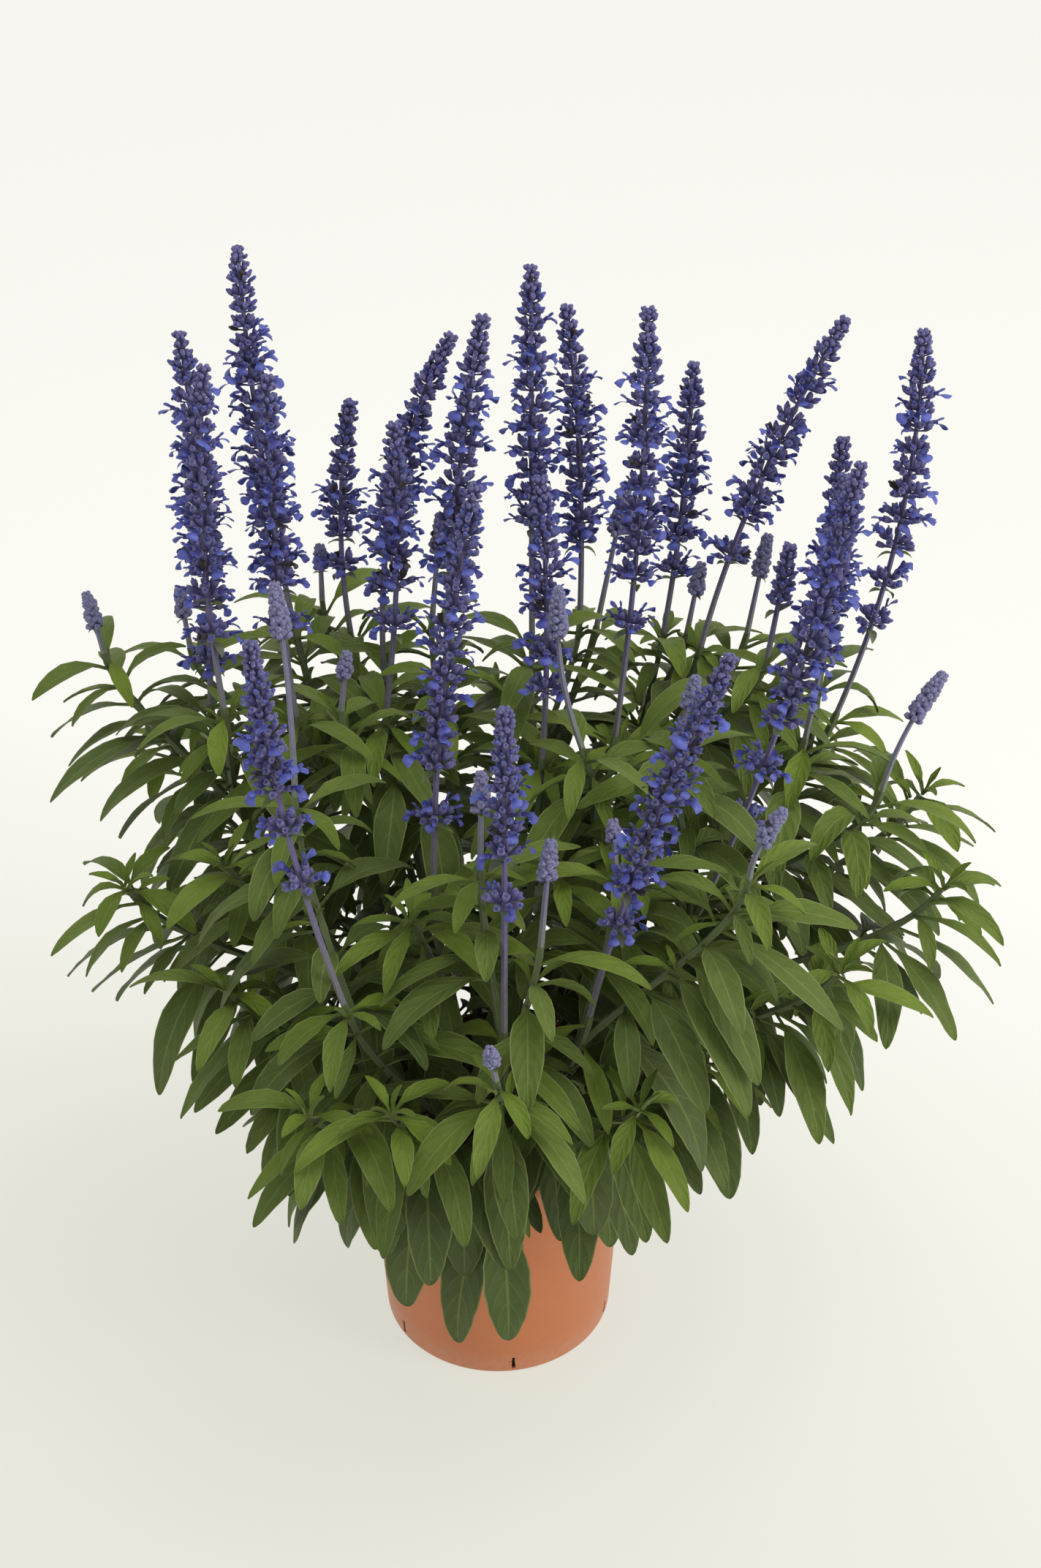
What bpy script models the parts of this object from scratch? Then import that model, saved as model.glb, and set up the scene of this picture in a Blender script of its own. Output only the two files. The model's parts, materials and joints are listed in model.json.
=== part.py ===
"""A bushy blue salvia in flower, growing in a round plastic nursery pot.

Metres, +Z up. The origin is the centre of the pot's underside, and the plant faces -Y.
Seventeen leafy stems stand in holes in the soil. Each one forks, and each fork ends in a
violet flower spike, a young bud spike or a tuft of leaves.
"""
import math
import random

import bpy
import bmesh
from mathutils import Vector
from mathutils.bvhtree import BVHTree

# Pot and soil
POT_FOOT_RADIUS = 0.075
POT_TAPER = 0.053
POT_HEIGHT = 0.170
POT_WALL = 0.0016
POT_FLOOR = 0.0024
RIM_DEPTH = 0.010
RIM_OUT = 0.0026
POT_SIDES = 30
SOIL_SIDES = 20
SLIT_ANGLES = [-145, -82, -20, 38, 98, 158]
SLIT_WIDTH = 0.0016
SLIT_LOW = 0.0030
SLIT_HIGH = 0.0135
SOIL_LEVEL = 0.152
HOLE_DEPTH = 0.040
GAP = 0.0003
SHORTEST_EDGE = 0.000004

# Stems
STEM_BASE_HALF = 0.0029
STEM_TOP_HALF = 0.0017
BRANCH_BASE_HALF = 0.0019
ROOT_SPREAD = 0.28
LINE_POINTS = 24
LONGEST_CHORD = 0.055
NODE_HALF = 0.0013
FORK_DROP = 0.065
FORK_SPACING = 0.011
LOWEST_FORK = 0.040

# Leaves: their length and spacing grow with the distance below a shoot's tip
LEAF_YOUNG = 0.054
LEAF_OLD = 0.110
LEAF_GROWTH = 0.060
PAIR_FIRST = 0.009
PAIR_YOUNG = 0.022
PAIR_OLD = 0.062
PAIR_GROWTH = 0.060
LEAF_FOLD = 0.16
LEAF_KEEL = 0.0009
LEAF_FOOT_HALF = 0.0012
PETIOLE_SHARE = 0.12
LEAF_CLEAR = 0.0010
LEAF_TRIES = 9
LEAF_FLOOR = 0.035
BARE_SIDE = (0.022, 0.100)
BARE_SIDE_TOP = 0.150
LOW_LEAF = 0.240
LOW_LEAF_SHARE = 0.82

# The mound of foliage, as an ellipsoid: leaves that end well inside it are left out
MOUND_CENTRE = 0.270
MOUND_RADIUS = 0.250
MOUND_RISE = 0.130
MOUND_SHADE = 0.78

# Flower spikes
STALK_HALF = 0.0015
WHORL_RADIUS = 0.0135
BUD_RADIUS = 0.0062
WHORL_STEP = 0.0195
BUD_STEP = 0.0140
LOBES = 4

# Every spike: foot of its violet stalk, tip, sideways bow at mid length,
# length in close flower from the tip down, and the spacing of the loose whorls below it
SPIKES = {
    "spike_01": ((-0.173, 0.080, 0.415), (-0.178, 0.120, 0.636), (0.004, 0, 0), 0.135, (0.026, 0.036)),
    "spike_02": ((-0.158, 0.035, 0.440), (-0.160, 0.080, 0.633), (-0.006, 0, 0), 0.130, (0.024,)),
    "spike_03": ((-0.125, 0.130, 0.440), (-0.147, 0.160, 0.672), (-0.004, 0, 0), 0.165, (0.026,)),
    "spike_04": ((-0.118, 0.050, 0.425), (-0.126, 0.090, 0.623), (-0.004, 0, 0), 0.120, (0.026,)),
    "spike_05": ((-0.094, 0.170, 0.415), (-0.089, 0.190, 0.564), (-0.006, 0, 0), 0.085, (0.022,)),
    "spike_06": ((-0.070, 0.125, 0.405), (-0.025, 0.145, 0.625), (-0.014, 0, 0.008), 0.140, (0.026,)),
    "spike_07": ((-0.066, 0.070, 0.415), (-0.057, 0.095, 0.592), (0.004, 0, 0), 0.095, (0.028,)),
    "spike_08": ((-0.030, 0.085, 0.440), (-0.006, 0.105, 0.652), (-0.004, 0, 0), 0.150, ()),
    "spike_09": ((-0.035, -0.030, 0.360), (-0.009, 0.000, 0.599), (-0.006, 0, 0), 0.165, (0.034,)),
    "spike_10": ((0.022, 0.105, 0.450), (0.021, 0.140, 0.668), (0, 0, 0), 0.150, ()),
    "spike_11": ((0.052, 0.145, 0.435), (0.042, 0.170, 0.633), (0.004, 0, 0), 0.145, ()),
    "spike_12": ((0.028, 0.035, 0.405), (0.026, 0.060, 0.575), (0.003, 0, 0), 0.080, (0.026, 0.022)),
    "spike_13": ((0.072, 0.060, 0.405), (0.087, 0.120, 0.651), (0.004, 0, 0), 0.155, (0.030,)),
    "spike_14": ((0.106, 0.160, 0.420), (0.119, 0.185, 0.591), (0.003, 0, 0), 0.110, (0.022,)),
    "spike_15": ((0.127, 0.125, 0.430), (0.203, 0.150, 0.633), (-0.008, 0, 0), 0.130, (0.028,)),
    "spike_16": ((0.162, 0.075, 0.450), (0.172, 0.085, 0.520), (0, 0, 0), 0.036, ()),
    "spike_17": ((0.200, 0.110, 0.430), (0.205, 0.135, 0.565), (0, 0, 0), 0.085, ()),
    "spike_18": ((0.185, 0.050, 0.410), (0.198, 0.070, 0.572), (0.003, 0, 0), 0.105, ()),
    "spike_19": ((0.126, -0.035, 0.365), (0.197, 0.015, 0.605), (0.006, 0, 0), 0.150, (0.030, 0.034)),
    "spike_20": ((0.210, 0.095, 0.400), (0.243, 0.120, 0.638), (0.012, 0, 0), 0.130, (0.024, 0.026)),
    "spike_21": ((0.054, -0.100, 0.320), (0.121, -0.100, 0.553), (-0.006, 0, 0), 0.150, (0.028,)),
    "spike_22": ((-0.082, -0.120, 0.345), (-0.118, -0.120, 0.572), (-0.006, 0, 0), 0.085, (0.026, 0.036)),
    "spike_23": ((0.006, -0.120, 0.325), (0.007, -0.100, 0.522), (0, 0, 0), 0.085, (0.030,)),
    "bud_01": ((0.050, 0.000, 0.435), (0.036, 0.010, 0.531), (-0.005, 0, 0), 0.026, ()),
    "bud_02": ((0.063, 0.150, 0.430), (0.080, 0.165, 0.520), (0, 0, 0), 0.030, ()),
    "bud_03": ((-0.040, 0.140, 0.440), (-0.034, 0.150, 0.506), (0, 0, 0), 0.022, ()),
    "bud_04": ((0.158, 0.150, 0.425), (0.168, 0.160, 0.487), (0, 0, 0), 0.024, ()),
    "bud_05": ((0.230, 0.030, 0.385), (0.262, 0.050, 0.453), (-0.004, 0, 0), 0.030, ()),
    "bud_06": ((0.138, -0.100, 0.415), (0.153, -0.100, 0.458), (-0.003, 0, 0), 0.020, ()),
    "bud_07": ((0.104, 0.000, 0.435), (0.113, 0.000, 0.480), (0, 0, 0), 0.018, ()),
    "bud_08": ((-0.112, -0.030, 0.421), (-0.119, 0.000, 0.539), (0.002, 0, 0), 0.028, ()),
    "bud_09": ((-0.236, 0.090, 0.445), (-0.242, 0.090, 0.484), (0, 0, 0), 0.020, ()),
    "bud_10": ((-0.189, 0.120, 0.432), (-0.193, 0.125, 0.468), (0, 0, 0), 0.016, ()),
    "bud_11": ((-0.112, 0.180, 0.432), (-0.112, 0.185, 0.467), (0, 0, 0), 0.014, ()),
    "bud_12": ((-0.090, 0.040, 0.435), (-0.086, 0.045, 0.470), (0, 0, 0), 0.014, ()),
    "bud_13": ((-0.007, -0.080, 0.408), (-0.006, -0.070, 0.462), (0, 0, 0), 0.020, ()),
    "bud_14": ((0.026, -0.112, 0.378), (0.031, -0.095, 0.435), (0, 0, 0), 0.020, ()),
    "bud_15": ((0.068, -0.062, 0.396), (0.066, -0.055, 0.420), (0, 0, 0), 0.010, ()),
    "bud_16": ((0.002, -0.172, 0.335), (-0.001, -0.174, 0.357), (0, 0, 0), 0.010, ()),
    "bud_17": ((0.120, 0.150, 0.425), (0.127, 0.155, 0.470), (0, 0, 0), 0.018, ()),
}

# Every stem from the soil: the spike that it ends in, the spikes on its forks,
# the tips of its leafy side shoots, and the tips of the low shoots that hang over the rim
STEMS = {
    "stem_01": ("spike_01", ["spike_02", "bud_09"], [(-0.215, -0.015, 0.345), (-0.150, 0.050, 0.285)],
                [(-0.095, 0.020, 0.225)]),
    "stem_02": ("spike_03", ["spike_04", "bud_10"], [(-0.215, 0.160, 0.335), (-0.125, 0.115, 0.265)], []),
    "stem_03": ("spike_05", ["bud_11"], [(-0.105, 0.225, 0.325), (-0.050, 0.165, 0.260)],
                [(-0.070, 0.100, 0.220)]),
    "stem_04": ("spike_06", ["spike_07"], [], []),
    "stem_05": ("spike_08", ["bud_03", "bud_12"], [], []),
    "stem_06": ("spike_09", [], [(-0.150, -0.085, 0.325), (-0.155, -0.020, 0.365), (-0.045, -0.080, 0.370)],
                []),
    "stem_07": ("spike_10", ["spike_11", "bud_02"], [(0.000, 0.225, 0.335), (0.045, 0.165, 0.260)], []),
    "stem_08": ("spike_12", [], [(0.035, -0.055, 0.385)], []),
    "stem_09": ("spike_13", ["bud_01"], [(0.080, -0.060, 0.380)], []),
    "stem_10": ("spike_14", ["bud_17"], [(0.100, 0.230, 0.325), (0.125, 0.140, 0.265)],
                [(0.045, 0.110, 0.215)]),
    "stem_11": ("spike_15", ["spike_16", "bud_04"], [(0.195, 0.190, 0.335)], []),
    "stem_12": ("spike_20", ["spike_17"], [(0.265, 0.085, 0.345), (0.165, 0.040, 0.285)],
                [(0.096, 0.045, 0.232)]),
    "stem_13": ("spike_18", ["bud_05"], [(0.262, -0.015, 0.345)], []),
    "stem_14": ("spike_19", ["bud_07"], [(0.195, -0.075, 0.330), (0.120, -0.090, 0.275)],
                [(0.086, -0.030, 0.268)]),
    "stem_15": ("spike_21", ["bud_06", "bud_15"], [(0.080, -0.145, 0.290)], [(0.050, -0.105, 0.272)]),
    "stem_16": ("spike_22", ["bud_08"], [(-0.100, -0.150, 0.290), (-0.115, -0.080, 0.255)],
                [(-0.080, -0.070, 0.225)]),
    "stem_17": ("spike_23", ["bud_13", "bud_14", "bud_16"], [(-0.055, -0.160, 0.300)],
                [(-0.045, -0.108, 0.238), (-0.002, -0.124, 0.202)]),
}

MATERIALS = {
    "pot": ((0.46, 0.17, 0.075), 0.55),
    "soil": ((0.045, 0.03, 0.02), 0.95),
    "stem": ((0.10, 0.19, 0.045), 0.6),
    "spike": ((0.075, 0.06, 0.30), 0.75),
    "bud": ((0.20, 0.20, 0.38), 0.8),
}


def material_of(kind):
    """The material of one kind of piece."""
    material = bpy.data.materials.get(kind)
    if material is None:
        colour, roughness = MATERIALS[kind]
        material = bpy.data.materials.new(kind)
        material.use_nodes = True
        shader = material.node_tree.nodes["Principled BSDF"]
        shader.inputs["Base Color"].default_value = (*colour, 1)
        shader.inputs["Roughness"].default_value = roughness
        shader.inputs["Metallic"].default_value = 0
    return material


def new_object(name, points, faces, kind):
    """An object from points and faces, with its kind's material."""
    mesh = bpy.data.meshes.new(name)
    mesh.from_pydata(points, [], faces)
    mesh.validate()
    made = bpy.data.objects.new(name, mesh)
    made.data.materials.append(material_of(kind))
    bpy.context.scene.collection.objects.link(made)
    return made


def evaluated_mesh(made):
    """A new mesh of what an object's modifiers give."""
    bpy.context.view_layer.update()
    graph = bpy.context.evaluated_depsgraph_get()
    return bpy.data.meshes.new_from_object(made.evaluated_get(graph))


def is_sound(mesh):
    """Whether a mesh is closed, hangs together and has no edge too short to keep."""
    shape = bmesh.new()
    shape.from_mesh(mesh)
    sound = all(len(edge.link_faces) == 2 and edge.calc_length() > SHORTEST_EDGE for edge in shape.edges)
    reached, waiting = set(), [shape.verts[:][0]]
    while waiting:
        vertex = waiting.pop()
        if vertex not in reached:
            reached.add(vertex)
            waiting += [edge.other_vert(vertex) for edge in vertex.link_edges]
    sound = sound and len(reached) == len(shape.verts)
    shape.free()
    return sound


def combine(made, others, operation):
    """Join others to an object, or cut them from it, in one Boolean, and remove them."""
    group = bpy.data.collections.new(made.name + "_pieces")
    bpy.context.scene.collection.children.link(group)
    for other in others:
        bpy.context.scene.collection.objects.unlink(other)
        group.objects.link(other)
    boolean = made.modifiers.new("combine", "BOOLEAN")
    boolean.operation = operation
    boolean.operand_type = "COLLECTION"
    boolean.collection = group
    boolean.solver = "EXACT"
    mesh = evaluated_mesh(made)
    if not is_sound(mesh):
        boolean.solver = "MANIFOLD"
        mesh = evaluated_mesh(made)
    made.modifiers.clear()
    made.data = mesh
    for other in others:
        bpy.data.objects.remove(other)
    bpy.data.collections.remove(group)


# Curves and rings

def hermite(start, start_way, end, end_way, count):
    """Points of a smooth curve that leaves and arrives along the given ways."""
    points = []
    for step in range(count + 1):
        t = step / count
        points.append(start * (2 * t**3 - 3 * t**2 + 1) + start_way * (t**3 - 2 * t**2 + t)
                      + end * (3 * t**2 - 2 * t**3) + end_way * (t**3 - t**2))
    return points


def lengths_along(points):
    """The distance of each point from the first, along the line through them."""
    total = [0.0]
    for before, after in zip(points, points[1:]):
        total.append(total[-1] + (after - before).length)
    return total


def place_at(points, reach, distance):
    """The point and the way at a distance along a line."""
    for index in range(1, len(points)):
        if reach[index] >= distance or index == len(points) - 1:
            span = reach[index] - reach[index - 1]
            share = (distance - reach[index - 1]) / span
            way = (points[index] - points[index - 1]).normalized()
            return points[index - 1].lerp(points[index], share), way


def carried_sides(points, turn=0.0):
    """The way and two sideways directions at each point of a line, carried along without twist."""
    ways = [(points[min(i + 1, len(points) - 1)] - points[max(i - 1, 0)]).normalized()
            for i in range(len(points))]
    side = ways[0].cross(Vector((math.sin(turn), math.cos(turn), 0))).normalized()
    frames = []
    for index, way in enumerate(ways):
        if index:
            side = ways[index - 1].rotation_difference(way) @ side
        side = (side - way * side.dot(way)).normalized()
        frames.append((way, side, way.cross(side)))
    return frames


def ring(centre, side, other, radii, turn=0.0):
    """Points round a centre, one for each radius."""
    count = len(radii)
    return [centre + (side * math.cos(math.tau * k / count + turn)
                      + other * math.sin(math.tau * k / count + turn)) * radii[k]
            for k in range(count)]


def skin(rings, tip=None):
    """A closed skin over rings of 3, 4 or 8 points, ending in a last ring or a point."""
    points, faces, starts = [], [], []
    for one in rings:
        starts.append(len(points))
        points.extend(one)
    faces.append([starts[0] + k for k in reversed(range(len(rings[0])))])
    for low, high, a, b in zip(rings, rings[1:], starts, starts[1:]):
        n, m = len(low), len(high)
        if n == m:
            for k in range(n):
                j = (k + 1) % n
                faces.append([a + k, a + j, b + j, b + k])
        elif n < m:
            for k in range(n):
                j = (k + 1) % n
                here, mid, there = 2 * k, 2 * k + 1, (2 * k + 2) % m
                faces.append([a + k, b + mid, b + here])
                faces.append([a + k, a + j, b + mid])
                faces.append([a + j, b + there, b + mid])
        else:
            for k in range(m):
                j = (k + 1) % m
                here, mid, there = 2 * k, 2 * k + 1, (2 * k + 2) % n
                faces.append([a + here, a + mid, b + k])
                faces.append([a + mid, b + j, b + k])
                faces.append([a + mid, a + there, b + j])
    last, top = starts[-1], len(rings[-1])
    if tip is None:
        faces.append([last + k for k in range(top)])
    else:
        points.append(tip)
        for k in range(top):
            faces.append([last + k, last + (k + 1) % top, len(points) - 1])
    return points, faces


# Layout of the plant, the same whatever the detail of its pieces

def spike_line(name, count=24):
    """The line of a spike from the foot of its stalk to its tip."""
    foot, tip, bow = (Vector(v) for v in SPIKES[name][:3])
    middle = (foot + tip) / 2 + bow * 2
    return [foot * (1 - t)**2 + middle * 2 * t * (1 - t) + tip * t**2
            for t in (k / count for k in range(count + 1))]


def whorl_radius(name, below_tip):
    """How far flowers stand out at a distance below a spike's tip."""
    full = BUD_RADIUS if name.startswith("bud") else WHORL_RADIUS
    rise = 0.010 if name.startswith("bud") else 0.035
    return full * (0.28 + 0.72 * (1 - math.exp(-below_tip / rise)))


def whorls_below_tip(name, step):
    """The distances of a spike's whorls below its tip."""
    close, loose = SPIKES[name][3:]
    count = max(1, round(close / step))
    places = []
    for k in range(1, count + 1):
        share = k / count
        places.append(close * (0.35 * share**2 + 0.65 * share))
    for spacing in loose:
        places.append(places[-1] + spacing)
    return places


class Shoot:
    """A green stem or fork: its line, its square section along it, and its leaves by node."""

    def __init__(self, name, line, base_half, turn, hanging=False):
        self.name = name
        self.line = line
        self.frames = carried_sides(line, turn)
        self.reach = lengths_along(line)
        self.length = self.reach[-1]
        self.base_half = base_half
        self.hanging = hanging
        self.leaves = []
        self.nodes = self.leaf_nodes()
        self.stops = [0.0]
        if base_half == STEM_BASE_HALF:
            self.stops.append(self.reach[1])
        for distance in self.nodes + [self.length]:
            start = self.stops[-1]
            gaps = math.ceil((distance - start) / LONGEST_CHORD)
            self.stops += [start + (distance - start) * k / gaps for k in range(1, gaps)] + [distance]

    def leaf_nodes(self):
        """The distances along the shoot at which it can have a pair of leaves, from its foot up."""
        below, places = PAIR_FIRST, []
        while below < self.length - 0.020 and self.at(self.length - below).z > SOIL_LEVEL + 0.016:
            places.append(self.length - below)
            if self.hanging:
                below -= PAIR_YOUNG / 2
            below += PAIR_YOUNG + (PAIR_OLD - PAIR_YOUNG) * (1 - math.exp(-below / PAIR_GROWTH))
        return places[::-1]

    def at(self, distance):
        return place_at(self.line, self.reach, distance)[0]

    def half_at(self, distance):
        return self.base_half + (STEM_TOP_HALF - self.base_half) * distance / self.length

    def frame_at(self, distance):
        near = min(range(len(self.line)), key=lambda i: abs(self.reach[i] - distance))
        return self.frames[near]

    def face_normal(self, distance, face):
        """The way that one of the four flat sides looks."""
        _, side, other = self.frame_at(distance)
        angle = (face + 0.5) * math.pi / 2
        return side * math.cos(angle) + other * math.sin(angle)

    def ring_at(self, distance, moved=0.0):
        way, side, other = self.frame_at(distance)
        return ring(self.at(distance) + way * moved, side, other,
                    [self.half_at(distance) * math.sqrt(2)] * 4)


def fork_start(main, level, taken):
    """The lowest distance along a stem that reaches a level and is clear of its other forks."""
    highest = main.length - 0.030
    distance = next((d / 1000 for d in range(int(highest * 1000)) if main.at(d / 1000).z > level), highest)
    while any(abs(distance - other) < FORK_SPACING for other in taken):
        distance -= FORK_SPACING / 2
    taken.append(distance)
    return distance


def stem_shoots(stem):
    """The main stem of one stem of the table, and its forks."""
    spike, forks, side_tips, low_tips = STEMS[stem]
    line = spike_line(spike)
    foot, way = line[0], (line[1] - line[0]).normalized()
    root = Vector((foot.x * ROOT_SPREAD, foot.y * ROOT_SPREAD, SOIL_LEVEL - HOLE_DEPTH + GAP))
    collar = Vector((root.x, root.y, SOIL_LEVEL + 0.004))
    rise = (foot - collar).length
    outward = Vector((foot.x, foot.y, 0)) * 0.5
    above = hermite(collar, Vector((0, 0, rise)) + outward, foot, way * rise * 0.9, LINE_POINTS)
    draw = random.Random(stem)
    main = Shoot(stem, [root] + above, STEM_BASE_HALF, draw.uniform(0, math.pi))
    shoots, taken = [main], []

    def fork(end, end_way, drop, hanging=False):
        aside = Vector((end.x - foot.x, end.y - foot.y)).length
        level = max(end.z - drop - 0.5 * aside, SOIL_LEVEL + LOWEST_FORK)
        distance = fork_start(main, level, taken)
        start, start_way = main.at(distance), main.frame_at(distance)[0]
        span = (end - start).length
        leave = start_way * 0.6 + (end - start).normalized()
        line = hermite(start, leave.normalized() * span, end, end_way * span * 0.8, LINE_POINTS)
        shoots.append(Shoot(f"{stem}_fork_{len(shoots)}", line, BRANCH_BASE_HALF,
                            draw.uniform(0, math.pi), hanging))

    for name in forks:
        line = spike_line(name)
        fork(line[0], (line[1] - line[0]).normalized(), FORK_DROP)
    for tip in side_tips:
        end = Vector(tip)
        out = Vector((end.x, end.y, 0)).normalized()
        fork(end, (out * 0.5 + Vector((0, 0, 1))).normalized(), FORK_DROP * 1.3)
    for tip in low_tips:
        end = Vector(tip)
        out = Vector((end.x, end.y, 0)).normalized()
        fork(end, (out + Vector((0, 0, 0.1))).normalized(), FORK_DROP * 0.3, True)
    return shoots


class Leaf:
    """One blade: where it leaves its stem, the ways it points and its size."""

    def __init__(self, root, heading, pitch, droop, length, width, roll, sweep):
        self.root, self.heading = root, heading
        self.pitch, self.droop = pitch, droop
        self.length, self.width = length, width
        self.roll, self.sweep = roll, sweep

    def spine(self, steps=20):
        """Points along the midrib, each with its way, side and upper normal."""
        place, frames = self.root.copy(), []
        for k in range(steps + 1):
            t = k / steps
            pitch = self.pitch + (self.droop - self.pitch) * t**0.85
            heading = self.heading + self.sweep * t
            flat = Vector((math.cos(heading), math.sin(heading), 0))
            way = flat * math.cos(pitch) + Vector((0, 0, math.sin(pitch)))
            if k:
                place = place + way * (self.length / steps)
            side = Vector((math.sin(heading), -math.cos(heading), 0))
            normal = side.cross(way)
            roll = self.roll * min(1, t * 3)
            tilted = side * math.cos(roll) + normal * math.sin(roll)
            frames.append((place, way, tilted, tilted.cross(way)))
        return frames

    def half_width(self, t):
        """Half the blade's width at a share of its length."""
        if t <= PETIOLE_SHARE:
            return LEAF_FOOT_HALF
        u = (t - PETIOLE_SHARE) / (1 - PETIOLE_SHARE)
        return max(LEAF_FOOT_HALF * (1 - u), self.width / 2 * math.sin(math.pi * u**0.9)**0.8)

    def blade(self, stations, extra=0.0, first=0):
        """Points and faces of the blade: rings of keel, left edge and right edge, and a tip."""
        steps = 20
        frames = self.spine(steps)
        points, faces = [], []
        for t in stations:
            place, way, side, normal = frames[round(t * steps)]
            half = self.half_width(t) + extra
            lift = LEAF_FOLD * half + extra
            points += [place - normal * (LEAF_KEEL + extra), place - side * half + normal * lift,
                       place + side * half + normal * lift]
        points.append(frames[-1][0] + frames[-1][1] * extra)
        tip = first + len(points) - 1
        for a in range(first, tip - 3, 3):
            faces += [[a + k, a + (k + 1) % 3, a + 3 + (k + 1) % 3, a + 3 + k] for k in range(3)]
        faces += [[tip - 3 + k, tip - 3 + (k + 1) % 3, tip] for k in range(3)]
        return points, faces


LARGE_LEAF = 0.088
LARGE_STATIONS = (0.20, 0.50, 0.80)
SMALL_STATIONS = (0.35, 0.70)


def stations_for(leaf):
    return LARGE_STATIONS if leaf.length > LARGE_LEAF else SMALL_STATIONS


class Crowd:
    """What already has its place, so that nothing new is put through it."""

    def __init__(self):
        self.members = []

    @staticmethod
    def corners(points):
        return ([min(p[i] for p in points) for i in range(3)],
                [max(p[i] for p in points) for i in range(3)])

    def add(self, owner, points, faces):
        self.members.append((owner, self.corners(points), BVHTree.FromPolygons(points, faces)))

    def meets(self, points, faces, skipped=None):
        low, high = self.corners(points)
        tree = None
        for owner, (start, end), other in self.members:
            if owner == skipped or any(start[i] > high[i] or end[i] < low[i] for i in range(3)):
                continue
            tree = tree or BVHTree.FromPolygons(points, faces)
            if tree.overlap(other):
                return True
        return False


def hides_pot(leaf):
    """Whether a leaf would hang in front of the pot's right side, which the plant leaves bare."""
    tip = leaf.spine()[-1][0]
    return BARE_SIDE[0] < tip.x < BARE_SIDE[1] and tip.y < 0 and tip.z < BARE_SIDE_TOP


def place_leaf(crowd, shoot, leaf, draw):
    """Turn, droop or shorten a leaf until it is clear of everything, or give it up."""
    for attempt in range(LEAF_TRIES):
        stations = stations_for(leaf)
        outer = leaf.blade((0.10,) + stations, LEAF_CLEAR)
        whole = leaf.blade((0.0,) + stations, LEAF_CLEAR / 2)
        hangs_well = min(p.z for p in outer[0]) > LEAF_FLOOR and not hides_pot(leaf)
        if hangs_well and not crowd.meets(*outer) and not crowd.meets(*whole, shoot.name):
            crowd.add(shoot.name, *leaf.blade((0.05,) + stations))
            return True
        leaf.heading += draw.uniform(-0.40, 0.40)
        leaf.droop += draw.uniform(-0.25, 0.25)
        leaf.roll = draw.uniform(-0.35, 0.35)
        leaf.length *= 0.94
        leaf.width *= 0.97
    return False


def mound_reach(place):
    """How near a place is to the outside of the mound of foliage, which is at 1."""
    return math.hypot(math.hypot(place.x, place.y) / MOUND_RADIUS, (place.z - MOUND_CENTRE) / MOUND_RISE)


def leaf_on(shoot, distance, face, draw):
    """A new leaf on one side of a shoot, or none where the plant would shade it."""
    normal, way = shoot.face_normal(distance, face), shoot.frame_at(distance)[0]
    root = shoot.at(distance) + normal * shoot.half_at(distance)
    age = 1 - math.exp(-(shoot.length - distance) / LEAF_GROWTH)
    spread = math.radians(52 - 38 * age)
    start = normal * math.cos(spread) + way * math.sin(spread)
    outward = math.atan2(root.y, root.x)
    heading = math.atan2(start.y, start.x) + draw.uniform(-0.2, 0.2)
    facing = math.cos(heading - outward)
    heading -= 0.35 * math.sin(heading - outward)
    shaded = root.z < 0.33 and facing < 0.1 or root.z < 0.38 and facing < -0.6
    if shaded and not shoot.hanging:
        return None
    length = (LEAF_YOUNG + (LEAF_OLD - LEAF_YOUNG) * age) * draw.uniform(0.90, 1.12)
    if shoot.hanging:
        length = LEAF_OLD * draw.uniform(0.85, 1.08)
    elif root.z < LOW_LEAF:
        length *= LOW_LEAF_SHARE
    width = length * (0.23 + 0.05 * age) * draw.uniform(0.92, 1.08)
    pitch = math.asin(start.z) + draw.uniform(-0.1, 0.1)
    droop = -0.60 - 0.95 * age + 0.10 * (1 - facing) + draw.uniform(-0.15, 0.15)
    if shoot.hanging or root.z < LOW_LEAF:
        pitch, droop = min(pitch, draw.uniform(-0.2, 0.3)), draw.uniform(-1.57, -1.45)
        width *= 1.15
    leaf = Leaf(root, heading, pitch, droop, length, width,
                draw.uniform(-0.3, 0.3), draw.uniform(-0.25, 0.25))
    return leaf if mound_reach(leaf.spine()[-1][0]) > MOUND_SHADE else None


def grow_leaves(crowd, shoot):
    """Put a pair of leaves at each node, each pair a quarter turn from the next."""
    draw = random.Random(shoot.name)
    for number, distance in enumerate(reversed(shoot.nodes)):
        for face in (number % 2, number % 2 + 2):
            leaf = leaf_on(shoot, distance, face, draw)
            if leaf and place_leaf(crowd, shoot, leaf, draw):
                shoot.leaves.append((distance, face, leaf))


# Solids

def shoot_solid(shoot):
    """The square stem of a shoot with a leaf growing out of its side at each node."""
    in_leaf = {distance for distance, _, _ in shoot.leaves}
    rings, node_ring = [], {}
    for stop in shoot.stops:
        if stop in in_leaf:
            node_ring[stop] = len(rings)
            rings += [shoot.ring_at(stop, -NODE_HALF), shoot.ring_at(stop, NODE_HALF)]
        else:
            rings.append(shoot.ring_at(stop))
    points, faces = skin(rings)
    for distance, side, leaf in shoot.leaves:
        low = node_ring[distance] * 4
        j = (side + 1) % 4
        hole = [low + side, low + j, low + 4 + j, low + 4 + side]
        faces.remove(hole)
        normal = leaf.spine()[0][3]
        under = min(range(4), key=lambda k: (points[hole[k]] + points[hole[(k + 1) % 4]]).dot(normal))
        a, b, c, d = hole[under:] + hole[:under]
        keel = len(points)
        left, right = keel + 1, keel + 2
        blade = leaf.blade(stations_for(leaf), first=keel)
        points += blade[0]
        faces += blade[1] + [[a, b, keel], [b, c, left, keel], [c, d, right, left], [d, a, keel, right]]
    return points, faces


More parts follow.
